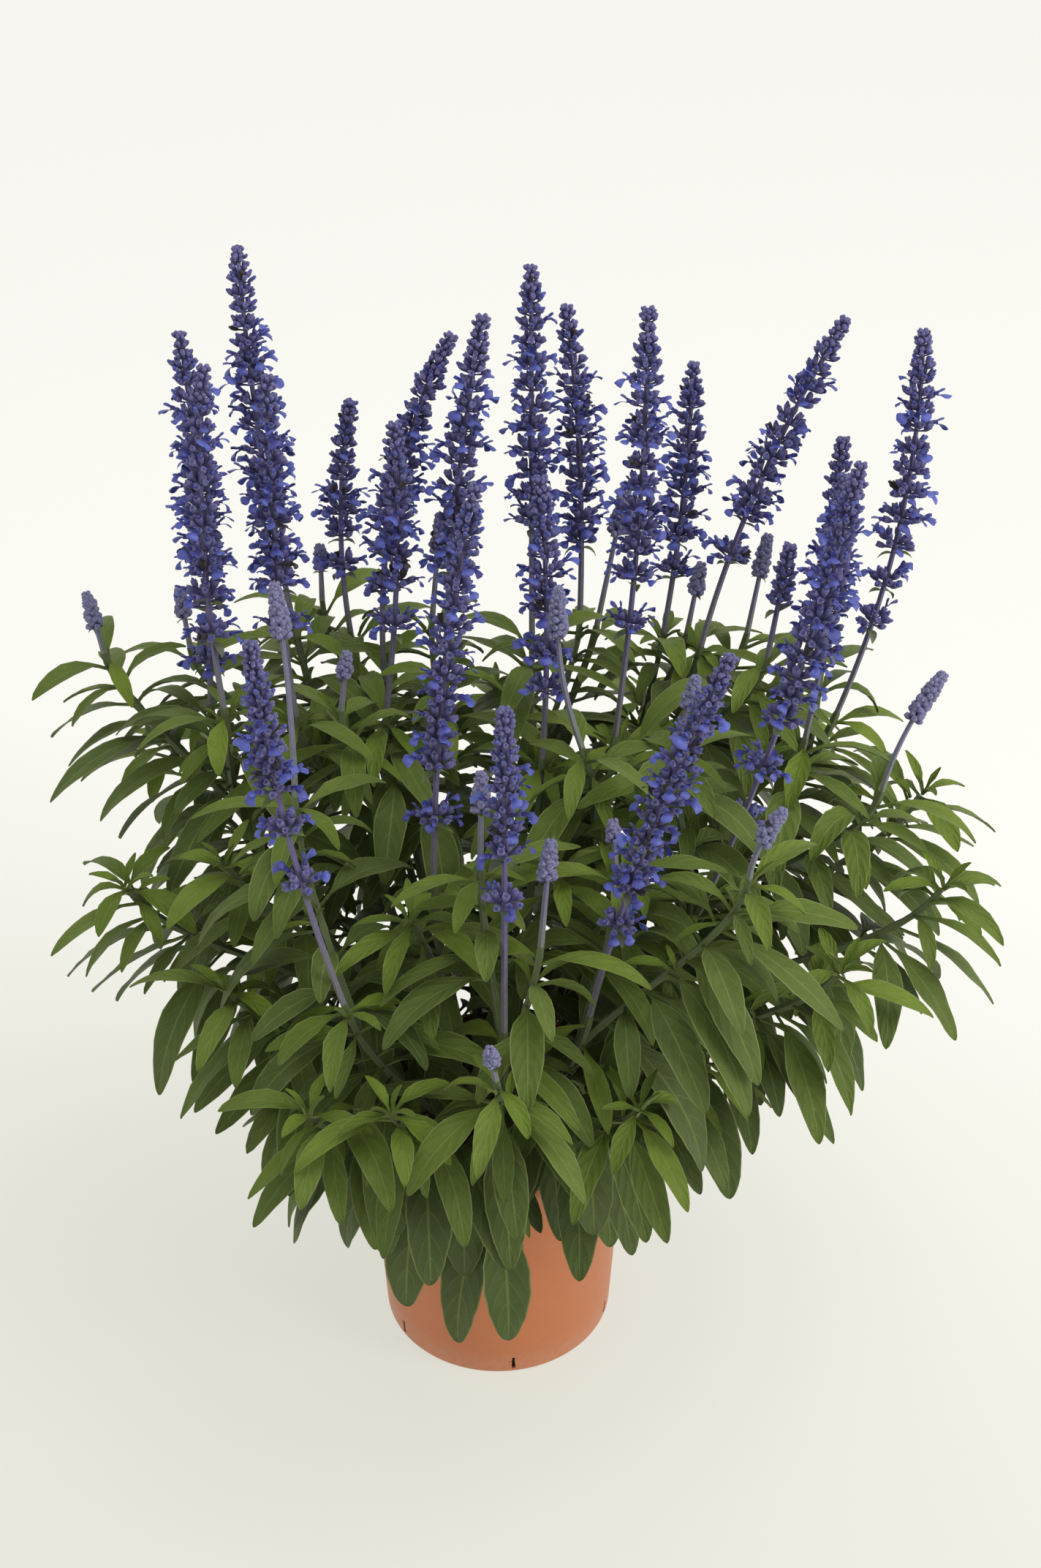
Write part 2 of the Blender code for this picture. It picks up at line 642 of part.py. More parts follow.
def spike_solid(name):
    """A spike as one skin: a square stalk, and whorls whose four lobes alternate."""
    line = spike_line(name)
    reach = lengths_along(line)
    frames = carried_sides(line)
    step = BUD_STEP if name.startswith("bud") else WHORL_STEP

    def ring_at(distance, radii, turn=0.0):
        place, _ = place_at(line, reach, distance)
        near = min(range(len(line)), key=lambda i: abs(reach[i] - distance))
        way, side, other = frames[near]
        return ring(place, side, other, radii, turn)

    places = whorls_below_tip(name, step)[::-1]
    rings = [ring_at(GAP, [STALK_HALF * math.sqrt(2)] * 4)]
    for index, below in enumerate(places):
        centre = reach[-1] - below
        radius = whorl_radius(name, below)
        depth = min(step * 0.42, radius * 0.55, below * 0.45)
        core = max(STALK_HALF * math.sqrt(2), radius * 0.42)
        high = LOBES * 2
        lobes = [radius * (1.18 if (k + index) % 2 else 0.66) for k in range(high)]
        loose = index < len(SPIKES[name][4])
        if loose or index == 0 or index == len(SPIKES[name][4]):
            rings.append(ring_at(centre - depth, [STALK_HALF * math.sqrt(2)] * 4))
        crown = ring_at(centre, lobes)
        rise = line[-1] - line[0]
        lifts = [0.10 if (k + index) % 2 else -0.14 for k in range(high)]
        rings.append([point + rise.normalized() * step * lift for point, lift in zip(crown, lifts)])
        if loose:
            rings.append(ring_at(centre + depth, [STALK_HALF * math.sqrt(2)] * 4))
        elif index < len(places) - 1:
            gap = below - places[index + 1]
            rings.append(ring_at(centre + gap / 2, [core] * 4))
    return skin(rings, line[-1])


def turned(name, profile, sides, kind):
    """A solid turned from a profile of radii and heights, which starts and ends on the axis."""
    shape = bmesh.new()
    wires = [shape.verts.new((radius, 0, height)) for radius, height in profile]
    edges = [shape.edges.new(pair) for pair in zip(wires, wires[1:])]
    bmesh.ops.spin(shape, geom=wires + edges, cent=(0, 0, 0), axis=(0, 0, 1), angle=math.tau,
                   steps=sides, use_merge=True)
    bmesh.ops.remove_doubles(shape, verts=shape.verts, dist=1e-6)
    bmesh.ops.recalc_face_normals(shape, faces=shape.faces)
    mesh = bpy.data.meshes.new(name)
    shape.to_mesh(mesh)
    shape.free()
    made = bpy.data.objects.new(name, mesh)
    made.data.materials.append(material_of(kind))
    bpy.context.scene.collection.objects.link(made)
    return made


def pot_radius(height):
    return POT_FOOT_RADIUS + POT_TAPER * height


def block(name, centre, size, angle=0.0):
    """A plain box, used to cut a slot or a hole."""
    half = Vector(size) / 2
    corners = [(x, y, z) for z in (-half.z, half.z) for y in (-half.y, half.y) for x in (-half.x, half.x)]
    faces = [(0, 2, 3, 1), (4, 5, 7, 6), (0, 1, 5, 4), (1, 3, 7, 5), (3, 2, 6, 7), (2, 0, 4, 6)]
    made = new_object(name, corners, faces, "soil")
    made.location = centre
    made.rotation_euler = (0, 0, angle)
    bpy.context.view_layer.update()
    return made


def make_pot():
    """The pot: a thin tapered wall, a flat floor, a turned-out rim and slits at the foot."""
    rim_low = POT_HEIGHT - RIM_DEPTH
    profile = [
        (0, 0), (POT_FOOT_RADIUS - 0.0015, 0), (pot_radius(0.0015), 0.0015),
        (pot_radius(rim_low), rim_low), (pot_radius(rim_low) + RIM_OUT, rim_low + 0.0012),
        (pot_radius(POT_HEIGHT) + RIM_OUT, POT_HEIGHT), (pot_radius(POT_HEIGHT) - POT_WALL, POT_HEIGHT),
        (pot_radius(POT_FLOOR) - POT_WALL, POT_FLOOR), (0, POT_FLOOR),
    ]
    pot = turned("pot", profile, POT_SIDES, "pot")
    cutters = []
    middle = (SLIT_LOW + SLIT_HIGH) / 2
    for count, degrees in enumerate(SLIT_ANGLES):
        angle = math.radians(degrees)
        radius = pot_radius(middle) - POT_WALL / 2
        centre = Vector((radius * math.cos(angle), radius * math.sin(angle), middle))
        size = (POT_WALL * 4, SLIT_WIDTH, SLIT_HIGH - SLIT_LOW)
        cutters.append(block(f"slit_{count}", centre, size, angle))
    combine(pot, cutters, "DIFFERENCE")
    pot.data.shade_smooth()
    pot.data.set_sharp_from_angle(angle=math.radians(30))


def make_soil(shoots):
    """The soil: it fills the pot, is a little higher in the middle, and has a hole for each stem."""
    low = POT_FLOOR + GAP
    slack = POT_WALL + GAP * 4
    profile = [(0, low), (pot_radius(low) - slack, low), (pot_radius(SOIL_LEVEL) - slack, SOIL_LEVEL - 0.003),
               (0.045, SOIL_LEVEL), (0, SOIL_LEVEL)]
    soil = turned("soil", profile, SOIL_SIDES, "soil")
    holes = []
    side = STEM_BASE_HALF * 2 + GAP * 2
    for shoot in shoots:
        root = shoot.line[0]
        top = SOIL_LEVEL + 0.010
        bottom = SOIL_LEVEL - HOLE_DEPTH
        centre = Vector((root.x, root.y, (top + bottom) / 2))
        corner = shoot.frames[0][1]
        turn = math.atan2(corner.y, corner.x) + math.pi / 4
        holes.append(block("hole", centre, (side, side, top - bottom), turn))
    combine(soil, holes, "DIFFERENCE")


def make_spikes(crowd):
    for name in SPIKES:
        points, faces = spike_solid(name)
        new_object(name, points, faces, name.split("_")[0])
        crowd.add(name, points, faces)


def make_stems(crowd):
    """Every stem with its forks and leaves, joined in one solid."""
    plan = {stem: stem_shoots(stem) for stem in STEMS}
    for shoots in plan.values():
        for shoot in shoots:
            crowd.add(shoot.name, *shoot_solid(shoot))
    for shoots in plan.values():
        for shoot in shoots:
            grow_leaves(crowd, shoot)
    for stem, shoots in plan.items():
        main, *forks = [new_object(shoot.name, *shoot_solid(shoot), "stem") for shoot in shoots]
        combine(main, forks, "UNION")
    return [shoots[0] for shoots in plan.values()]


for old in list(bpy.data.objects):
    bpy.data.objects.remove(old)

placed = Crowd()
placed.add("soil", [Vector((x * POT_FOOT_RADIUS, y * POT_FOOT_RADIUS, SOIL_LEVEL + 0.001))
                    for x, y in ((-1, -1), (1, -1), (1, 1), (-1, 1))], [[0, 1, 2, 3]])
make_pot()
placed.add("pot", *[[v.co.copy() for v in bpy.data.objects["pot"].data.vertices],
                    [list(f.vertices) for f in bpy.data.objects["pot"].data.polygons]])
make_spikes(placed)
make_soil(make_stems(placed))
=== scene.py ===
"""A bushy blue salvia in flower, in a round nursery pot: the looks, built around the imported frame.

Metres, +Z up. The origin is the centre of the pot's underside, and the plant faces -Y. The plant's
layout is grown by the same rule and the same seeds as its solids, so each fine piece lies on its node.
"""
import json
import math
import random

import bmesh
import bpy
import numpy as np
from mathutils import Matrix, Vector
from mathutils.bvhtree import BVHTree

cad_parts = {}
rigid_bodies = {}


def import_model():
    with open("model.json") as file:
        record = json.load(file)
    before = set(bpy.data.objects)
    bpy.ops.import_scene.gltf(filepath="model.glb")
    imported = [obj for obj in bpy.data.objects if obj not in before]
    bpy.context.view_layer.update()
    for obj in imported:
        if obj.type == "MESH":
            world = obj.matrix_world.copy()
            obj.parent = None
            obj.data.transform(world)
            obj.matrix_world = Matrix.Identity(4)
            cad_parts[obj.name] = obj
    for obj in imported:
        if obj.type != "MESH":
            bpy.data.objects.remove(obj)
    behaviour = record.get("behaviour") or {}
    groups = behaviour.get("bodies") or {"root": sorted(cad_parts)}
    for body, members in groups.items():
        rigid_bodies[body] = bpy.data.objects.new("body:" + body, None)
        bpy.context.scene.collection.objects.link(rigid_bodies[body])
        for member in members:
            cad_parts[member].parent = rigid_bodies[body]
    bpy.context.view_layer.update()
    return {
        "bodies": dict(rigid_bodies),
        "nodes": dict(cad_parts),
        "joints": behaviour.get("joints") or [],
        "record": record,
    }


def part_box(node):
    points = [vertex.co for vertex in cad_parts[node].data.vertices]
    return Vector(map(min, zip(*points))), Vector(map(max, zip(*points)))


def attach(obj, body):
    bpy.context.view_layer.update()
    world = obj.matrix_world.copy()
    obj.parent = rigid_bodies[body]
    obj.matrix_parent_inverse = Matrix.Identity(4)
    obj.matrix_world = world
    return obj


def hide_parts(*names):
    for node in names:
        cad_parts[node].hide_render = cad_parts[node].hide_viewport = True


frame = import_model()

# Pot
# A thin nursery pot, injection-moulded in terracotta-coloured polypropylene. Its wall tapers so that
# pots stack, its brim is turned out and rounded, and six drain slits are cut through at its foot.
POT_FOOT_RADIUS = 0.075
POT_TAPER = 0.053
POT_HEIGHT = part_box("pot")[1].z
POT_WALL = 0.0016
POT_FLOOR = 0.0024
BRIM_DEPTH = 0.010
BRIM_OUT = 0.0026
POT_SIDES = 144
FOOT_ROUND = 0.0015
BRIM_ROUND = 0.0008
SLIT_ANGLES = [-145, -82, -20, 38, 98, 158]
SLIT_WIDTH = 0.0026
SLIT_LOW = 0.0030
SLIT_HIGH = 0.0135
SLIT_STEPS = 6
SLIT_BURRS = 7
BURR_SIZE = 0.0011


def pot_radius(height):
    """The wall's outer radius at a height."""
    return POT_FOOT_RADIUS + POT_TAPER * height


def finished(piece, node):
    """Put a piece on the plant's one body, in place of its node."""
    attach(piece, "root")
    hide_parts(node)
    return piece


def rounded(corner, before, after, radius, steps=4):
    """A profile's corner as a round of a few points."""
    corner, before, after = Vector(corner), Vector(before), Vector(after)
    start = corner + (before - corner).normalized() * radius
    end = corner + (after - corner).normalized() * radius
    shares = [k / steps for k in range(steps + 1)]
    return [start * (1 - s)**2 + corner * 2 * s * (1 - s) + end * s**2 for s in shares]


def placed(name, data):
    """A new object in the scene for a mesh, a light or the camera."""
    made = bpy.data.objects.new(name, data)
    bpy.context.scene.collection.objects.link(made)
    return made


def meshed(name, points, faces):
    """A new object made of points and faces."""
    mesh = bpy.data.meshes.new(name)
    mesh.from_pydata([tuple(point) for point in points], [], faces)
    return placed(name, mesh)


def settled(name, shape):
    """The object that a shape in the making becomes, with its faces turned outwards."""
    bmesh.ops.recalc_face_normals(shape, faces=shape.faces)
    mesh = bpy.data.meshes.new(name)
    shape.to_mesh(mesh)
    shape.free()
    return placed(name, mesh)


def spun(name, profile, sides):
    """A piece turned round the pot's middle from a profile of radii and heights."""
    shape = bmesh.new()
    wires = [shape.verts.new((radius, 0, height)) for radius, height in profile]
    edges = [shape.edges.new(pair) for pair in zip(wires, wires[1:])]
    bmesh.ops.spin(shape, geom=wires + edges, cent=(0, 0, 0), axis=(0, 0, 1), angle=math.tau,
                   steps=sides, use_merge=True)
    bmesh.ops.remove_doubles(shape, verts=shape.verts, dist=1e-6)
    return settled(name, shape)


def quads(count, total):
    """Faces between rings of one size whose points follow each other."""
    return [[a + k, a + (k + 1) % count, a + count + (k + 1) % count, a + count + k]
            for a in range(0, total - count, count) for k in range(count)]


def sleeve(rings, closed_tip=True):
    """Faces over rings of equal size, closed at the foot, and at the tip by the last ring."""
    count = len(rings[0])
    points = [point for one in rings for point in one]
    faces = [list(range(count))[::-1]] + quads(count, len(points))
    if closed_tip:
        faces.append([len(points) - count + k for k in range(count)])
    return points, faces


def slit_cutter(out, along, draw):
    """A slim cutter for one drain slit, with edges as uneven as a worn punch leaves them."""
    radius = pot_radius(SLIT_LOW) - POT_WALL / 2
    rings = []
    for k in range(SLIT_STEPS + 1):
        height = SLIT_LOW + (SLIT_HIGH - SLIT_LOW) * k / SLIT_STEPS
        left, right = (SLIT_WIDTH * draw.uniform(0.25, 0.62) for _ in range(2))
        rings.append([out * (radius + reach * POT_WALL * 2.5) + along * side + Vector((0, 0, height))
                      for reach, side in ((-1, -left), (1, -left), (1, right), (-1, right))])
    return sleeve(rings)


def slit_burrs(out, along, draw):
    """Small torn points of plastic that the punch pushed out along one slit."""
    points, faces = [], []
    for k in range(SLIT_BURRS):
        height = SLIT_LOW + (SLIT_HIGH - SLIT_LOW) * (k + draw.uniform(0.1, 0.9)) / SLIT_BURRS
        side = draw.choice((-1, 1)) * SLIT_WIDTH * 0.75
        foot = out * (pot_radius(height) - 0.0002) + along * side + Vector((0, 0, height))
        size = BURR_SIZE * draw.uniform(0.4, 1.0)
        lean = along * (side * draw.uniform(-0.6, 0.9))
        first = len(points)
        points += [foot - Vector((0, 0, size)), foot + Vector((0, 0, size)),
                   foot + along * (math.copysign(size * 0.7, side)), foot + out * size * 0.8 + lean]
        faces += [[first + k for k in face] for face in ((0, 1, 2), (0, 3, 1), (1, 3, 2), (2, 3, 0))]
    return points, faces


def make_pot():
    """The pot with its rounded foot and brim, its slits and their burrs."""
    low = POT_HEIGHT - BRIM_DEPTH
    brim = pot_radius(POT_HEIGHT) + BRIM_OUT
    foot = (POT_FOOT_RADIUS, 0)
    under = (pot_radius(low) + BRIM_OUT, low)
    edge = (brim, POT_HEIGHT)
    inner = (pot_radius(POT_HEIGHT) - POT_WALL, POT_HEIGHT)
    hollow = (pot_radius(POT_FLOOR) - POT_WALL, POT_FLOOR)
    profile = [(0, 0)]
    profile += rounded(foot, (0, 0), (pot_radius(low), low), FOOT_ROUND)
    profile += [(pot_radius(low * k / 6), low * k / 6) for k in range(1, 6)]
    profile += rounded((pot_radius(low), low), (POT_FOOT_RADIUS, 0), under, BRIM_ROUND)
    profile += rounded(under, (pot_radius(low), low), edge, BRIM_ROUND)
    profile += rounded(edge, under, inner, BRIM_ROUND)
    profile += rounded(inner, edge, hollow, BRIM_ROUND)
    profile += rounded(hollow, inner, (0, POT_FLOOR), FOOT_ROUND)
    profile.append((0, POT_FLOOR))
    pot = spun("nursery_pot", [(p[0], p[1]) for p in profile], POT_SIDES)
    draw = random.Random("drain slits")
    ways = [(Vector((math.cos(angle), math.sin(angle), 0)), Vector((-math.sin(angle), math.cos(angle), 0)))
            for angle in map(math.radians, SLIT_ANGLES)]
    for out, along in ways:
        cutter = meshed("slit", *slit_cutter(out, along, draw))
        cut = pot.modifiers.new("slit", "BOOLEAN")
        cut.operation = "DIFFERENCE"
        cut.object = cutter
        bpy.context.view_layer.update()
        graph = bpy.context.evaluated_depsgraph_get()
        pot.data = bpy.data.meshes.new_from_object(pot.evaluated_get(graph))
        pot.modifiers.clear()
        bpy.data.objects.remove(cutter)
    whole = bmesh.new()
    whole.from_mesh(pot.data)
    for out, along in ways:
        points, faces = slit_burrs(out, along, draw)
        corners = [whole.verts.new(point) for point in points]
        for face in faces:
            whole.faces.new([corners[k] for k in face])
    whole.to_mesh(pot.data)
    whole.free()
    pot.data.shade_smooth()
    pot.data.set_sharp_from_angle(angle=math.radians(35))
    return pot


class Graph:
    """A shader graph. The values it takes are numbers, colours or the sockets of nodes made before."""

    def __init__(self, tree):
        self.tree = tree

    def feed(self, socket, value):
        """Set a socket to a value, or link it to the socket that gives one."""
        if isinstance(value, bpy.types.NodeSocket):
            self.tree.links.new(value, socket)
        elif socket.type == "RGBA":
            socket.default_value = (*value, 1)
        else:
            socket.default_value = value

    def node(self, kind, settings=None, values=None):
        """A new node, placed in rows in the order of making."""
        made = self.tree.nodes.new(f"ShaderNode{kind}")
        row, column = divmod(len(self.tree.nodes), 8)
        made.location = (220 * column - 2000, 400 - 320 * row)
        for key, value in (settings or {}).items():
            setattr(made, key, value)
        for key, value in (values or {}).items():
            self.feed(made.inputs[key], value)
        return made

    def place(self):
        """Where a point lies on the plant, in metres."""
        return self.node("TexCoord").outputs["Object"]

    def parts(self, vector):
        """The three numbers of a vector."""
        return self.node("SeparateXYZ", None, {0: vector}).outputs[:3]

    def mark(self, name):
        """The three numbers of one of the marks that a plant piece carries."""
        return self.parts(self.node("Attribute", {"attribute_name": name}).outputs["Vector"])

    def maths(self, operation, *values, clamped=False):
        """The result of one piece of arithmetic."""
        settings = {"operation": operation, "use_clamp": clamped}
        return self.node("Math", settings, dict(enumerate(values))).outputs[0]

    def ramp(self, value, result, over=(0, 1), kind="LINEAR"):
        """A result that goes from one number to another while the value goes over a range."""
        return self.node("MapRange", {"interpolation_type": kind}, {
            "Value": value, "From Min": over[0], "From Max": over[1], "To Min": result[0],
            "To Max": result[1]}).outputs["Result"]

    def noise(self, place, scale, detail, roughness=0.5):
        """A soft random pattern."""
        return self.node("TexNoise", None, {"Vector": place, "Scale": scale, "Detail": detail,
                                            "Roughness": roughness}).outputs["Fac"]

    def mix(self, first, second, share):
        """A colour between two."""
        return self.node("Mix", {"data_type": "RGBA"}, {0: share, 6: first, 7: second}).outputs[2]

    def group(self, group, *numbers):
        """The outputs of a node group that is given its numbers in order."""
        return self.node("Group", {"node_tree": group}, dict(enumerate(numbers))).outputs


class Group(Graph):
    """A node group with named number inputs, for an effect over a surface."""

    def __init__(self, name, numbers):
        super().__init__(bpy.data.node_groups.new(name, "ShaderNodeTree"))
        for socket, value in numbers.items():
            made = self.tree.interface.new_socket(socket, in_out="INPUT", socket_type="NodeSocketFloat")
            made.default_value = value
        self.given = self.tree.nodes.new("NodeGroupInput").outputs

    def giving(self, **results):
        """The finished group, with its named outputs."""
        for socket in results:
            self.tree.interface.new_socket(socket, in_out="OUTPUT", socket_type="NodeSocketFloat")
        end = self.tree.nodes.new("NodeGroupOutput")
        for socket, value in results.items():
            self.feed(end.inputs[socket], value)
        return self.tree


class Finish(Graph):
    """A material with the fixed values of its Principled BSDF set on the shader itself.

    The sheen is given as its weight, its roughness and its tint.
    """

    def __init__(self, name, specular, roughness=0.5, sheen=(0.0, 0.5, (1, 1, 1))):
        self.material = bpy.data.materials.new(name)
        self.material.use_nodes = True
        super().__init__(self.material.node_tree)
        self.shader = self.tree.nodes["Principled BSDF"].inputs
        values = {"Metallic": 0.0, "Specular IOR Level": specular, "Roughness": roughness}
        values.update(zip(("Sheen Weight", "Sheen Roughness", "Sheen Tint"), sheen))
        for socket, value in values.items():
            self.feed(self.shader[socket], value)

    def covered(self, colour, height, strength, distance, roughness=None):
        """The finished material, with its colour, its relief and a roughness that changes, if it does."""
        bump = self.node("Bump", None, {"Strength": strength, "Distance": distance, "Height": height})
        self.feed(self.shader["Base Color"], colour)
        self.feed(self.shader["Normal"], bump.outputs["Normal"])
        if roughness:
            self.feed(self.shader["Roughness"], roughness)
        return self.material


def mottling_group():
    """Soft cloudy patches with a finer grain in them, as one mask from 0 to 1."""
    cloud = Group("mottling", {"Patches per metre": 40.0, "Grain": 0.35, "Contrast": 1.0})
    patches, grain, contrast = cloud.given[:3]
    place = cloud.place()
    broad = cloud.noise(place, patches, 3.0, 0.55)
    fine = cloud.noise(place, cloud.maths("MULTIPLY", patches, 9.0), 2.0, 0.6)
    mixed = cloud.node("Mix", {"data_type": "FLOAT"}, {"Factor": grain, "A": broad, "B": fine})
    centred = cloud.maths("SUBTRACT", mixed.outputs["Result"], 0.5)
    scaled = cloud.maths("MULTIPLY", centred, contrast)
    return cloud.giving(Mask=cloud.maths("MULTIPLY_ADD", scaled, 2.2, 0.5, clamped=True))


MOTTLING = mottling_group()


def mottling(finish, patches, grain, contrast):
    """The mask of one use of the mottling."""
    return finish.group(MOTTLING, patches, grain, contrast)["Mask"]


def moulded_plastic():
    """Satin terracotta-coloured plastic with a fine moulded grain, pale scuffs and a dusty foot."""
    plastic = Finish("moulded terracotta plastic", 0.45, sheen=(0.06, 0.5, (1, 1, 1)))
    place = plastic.place()
    patches = mottling(plastic, 16.0, 0.25, 0.9)
    colour = plastic.mix((0.450, 0.131, 0.040), (0.505, 0.164, 0.056), patches)
    scratch_way = plastic.node("Mapping", None, {"Vector": place, "Scale": (60, 60, 900)})
    scratches = plastic.noise(scratch_way.outputs[0], 1.0, 3.0)
    colour = plastic.mix(colour, (0.62, 0.36, 0.24), plastic.ramp(scratches, (0, 0.30), (0.62, 0.78)))
    foot = plastic.ramp(plastic.parts(place)[2], (0.30, 0), (0, 0.022))
    dust = plastic.maths("MULTIPLY", foot, mottling(plastic, 220.0, 0.5, 1.6))
    colour = plastic.mix(colour, (0.56, 0.42, 0.33), dust)
    grain = plastic.noise(place, 1500.0, 2.0)
    return plastic.covered(colour, grain, 0.25, 0.0002, plastic.ramp(patches, (0.40, 0.56)))


nursery_pot = finished(make_pot(), "pot")
nursery_pot.data.materials.clear()
nursery_pot.data.materials.append(moulded_plastic())

# Compost
# Damp dark peat compost fills the pot to about 2 cm under the brim. It is loose and crumbly, higher in
# the middle, and the stems rise out of it.
SOIL_LEVEL = 0.152
SOIL_FALL = 0.003
SOIL_RISE = 0.0012
SOIL_MIDDLE = 0.045
SOIL_RINGS = 26
SOIL_SPOKES = 90
CRUMBS = 260
CRUMB_SIZE = (0.0008, 0.0026)


def turned(radius, angle, height):
    """A place in the pot at a radius, an angle and a height."""
    return Vector((radius * math.cos(angle), radius * math.sin(angle), height))


def make_compost():
    """The compost's lumpy top, its sides down to the pot's floor, and loose crumbs sunk in the top."""
    draw = random.Random("compost")
    edge = pot_radius(SOIL_LEVEL) - POT_WALL - 0.0008
    foot = pot_radius(POT_FLOOR) - POT_WALL - 0.0012
    angles = [math.tau * k / SOIL_SPOKES for k in range(SOIL_SPOKES)]
    shape = bmesh.new()
    rings = []
    for i in range(1, SOIL_RINGS + 1):
        radius = edge * i / SOIL_RINGS
        fall = SOIL_FALL * max(0.0, (radius - SOIL_MIDDLE) / (edge - SOIL_MIDDLE))
        rise = SOIL_RISE * (0.35 if i == SOIL_RINGS else 1.0)
        rings.append([shape.verts.new(turned(radius, angle, SOIL_LEVEL - fall + draw.uniform(-1, 0.6) * rise))
                      for angle in angles])
    rings.append([shape.verts.new(turned(foot, angle, POT_FLOOR + 0.0003)) for angle in angles])
    centre = shape.verts.new((0, 0, SOIL_LEVEL))
    for k in range(SOIL_SPOKES):
        j = (k + 1) % SOIL_SPOKES
        shape.faces.new((centre, rings[0][k], rings[0][j]))
        for low, high in zip(rings, rings[1:]):
            shape.faces.new((low[k], high[k], high[j], low[j]))
    shape.faces.new(rings[-1][::-1])
    for _ in range(CRUMBS):
        radius, angle = edge * 0.95 * math.sqrt(draw.random()), draw.uniform(0, math.tau)
        size = draw.uniform(*CRUMB_SIZE)
        for vertex in bmesh.ops.create_icosphere(shape, subdivisions=1, radius=size)["verts"]:
            vertex.co *= draw.uniform(0.7, 1.25)
            vertex.co += turned(radius, angle, SOIL_LEVEL - SOIL_FALL / 2 + size * 0.2)
    piece = settled("compost", shape)
    piece.data.shade_smooth()
    return piece


def crumbly_peat():
    """Dark brown peat with paler fibres and a rough, damp surface."""
    peat = Finish("crumbly peat", 0.25)
    patches = mottling(peat, 260.0, 0.6, 1.8)
    colour = peat.mix((0.018, 0.011, 0.007), (0.070, 0.045, 0.028), patches)
    fibres = peat.ramp(mottling(peat, 1400.0, 0.3, 2.4), (0, 0.6), (0.72, 0.95))
    colour = peat.mix(colour, (0.20, 0.13, 0.07), fibres)
    return peat.covered(colour, patches, 0.8, 0.0012, peat.ramp(patches, (0.75, 0.98)))


compost = finished(make_compost(), "soil")
compost.data.materials.append(crumbly_peat())

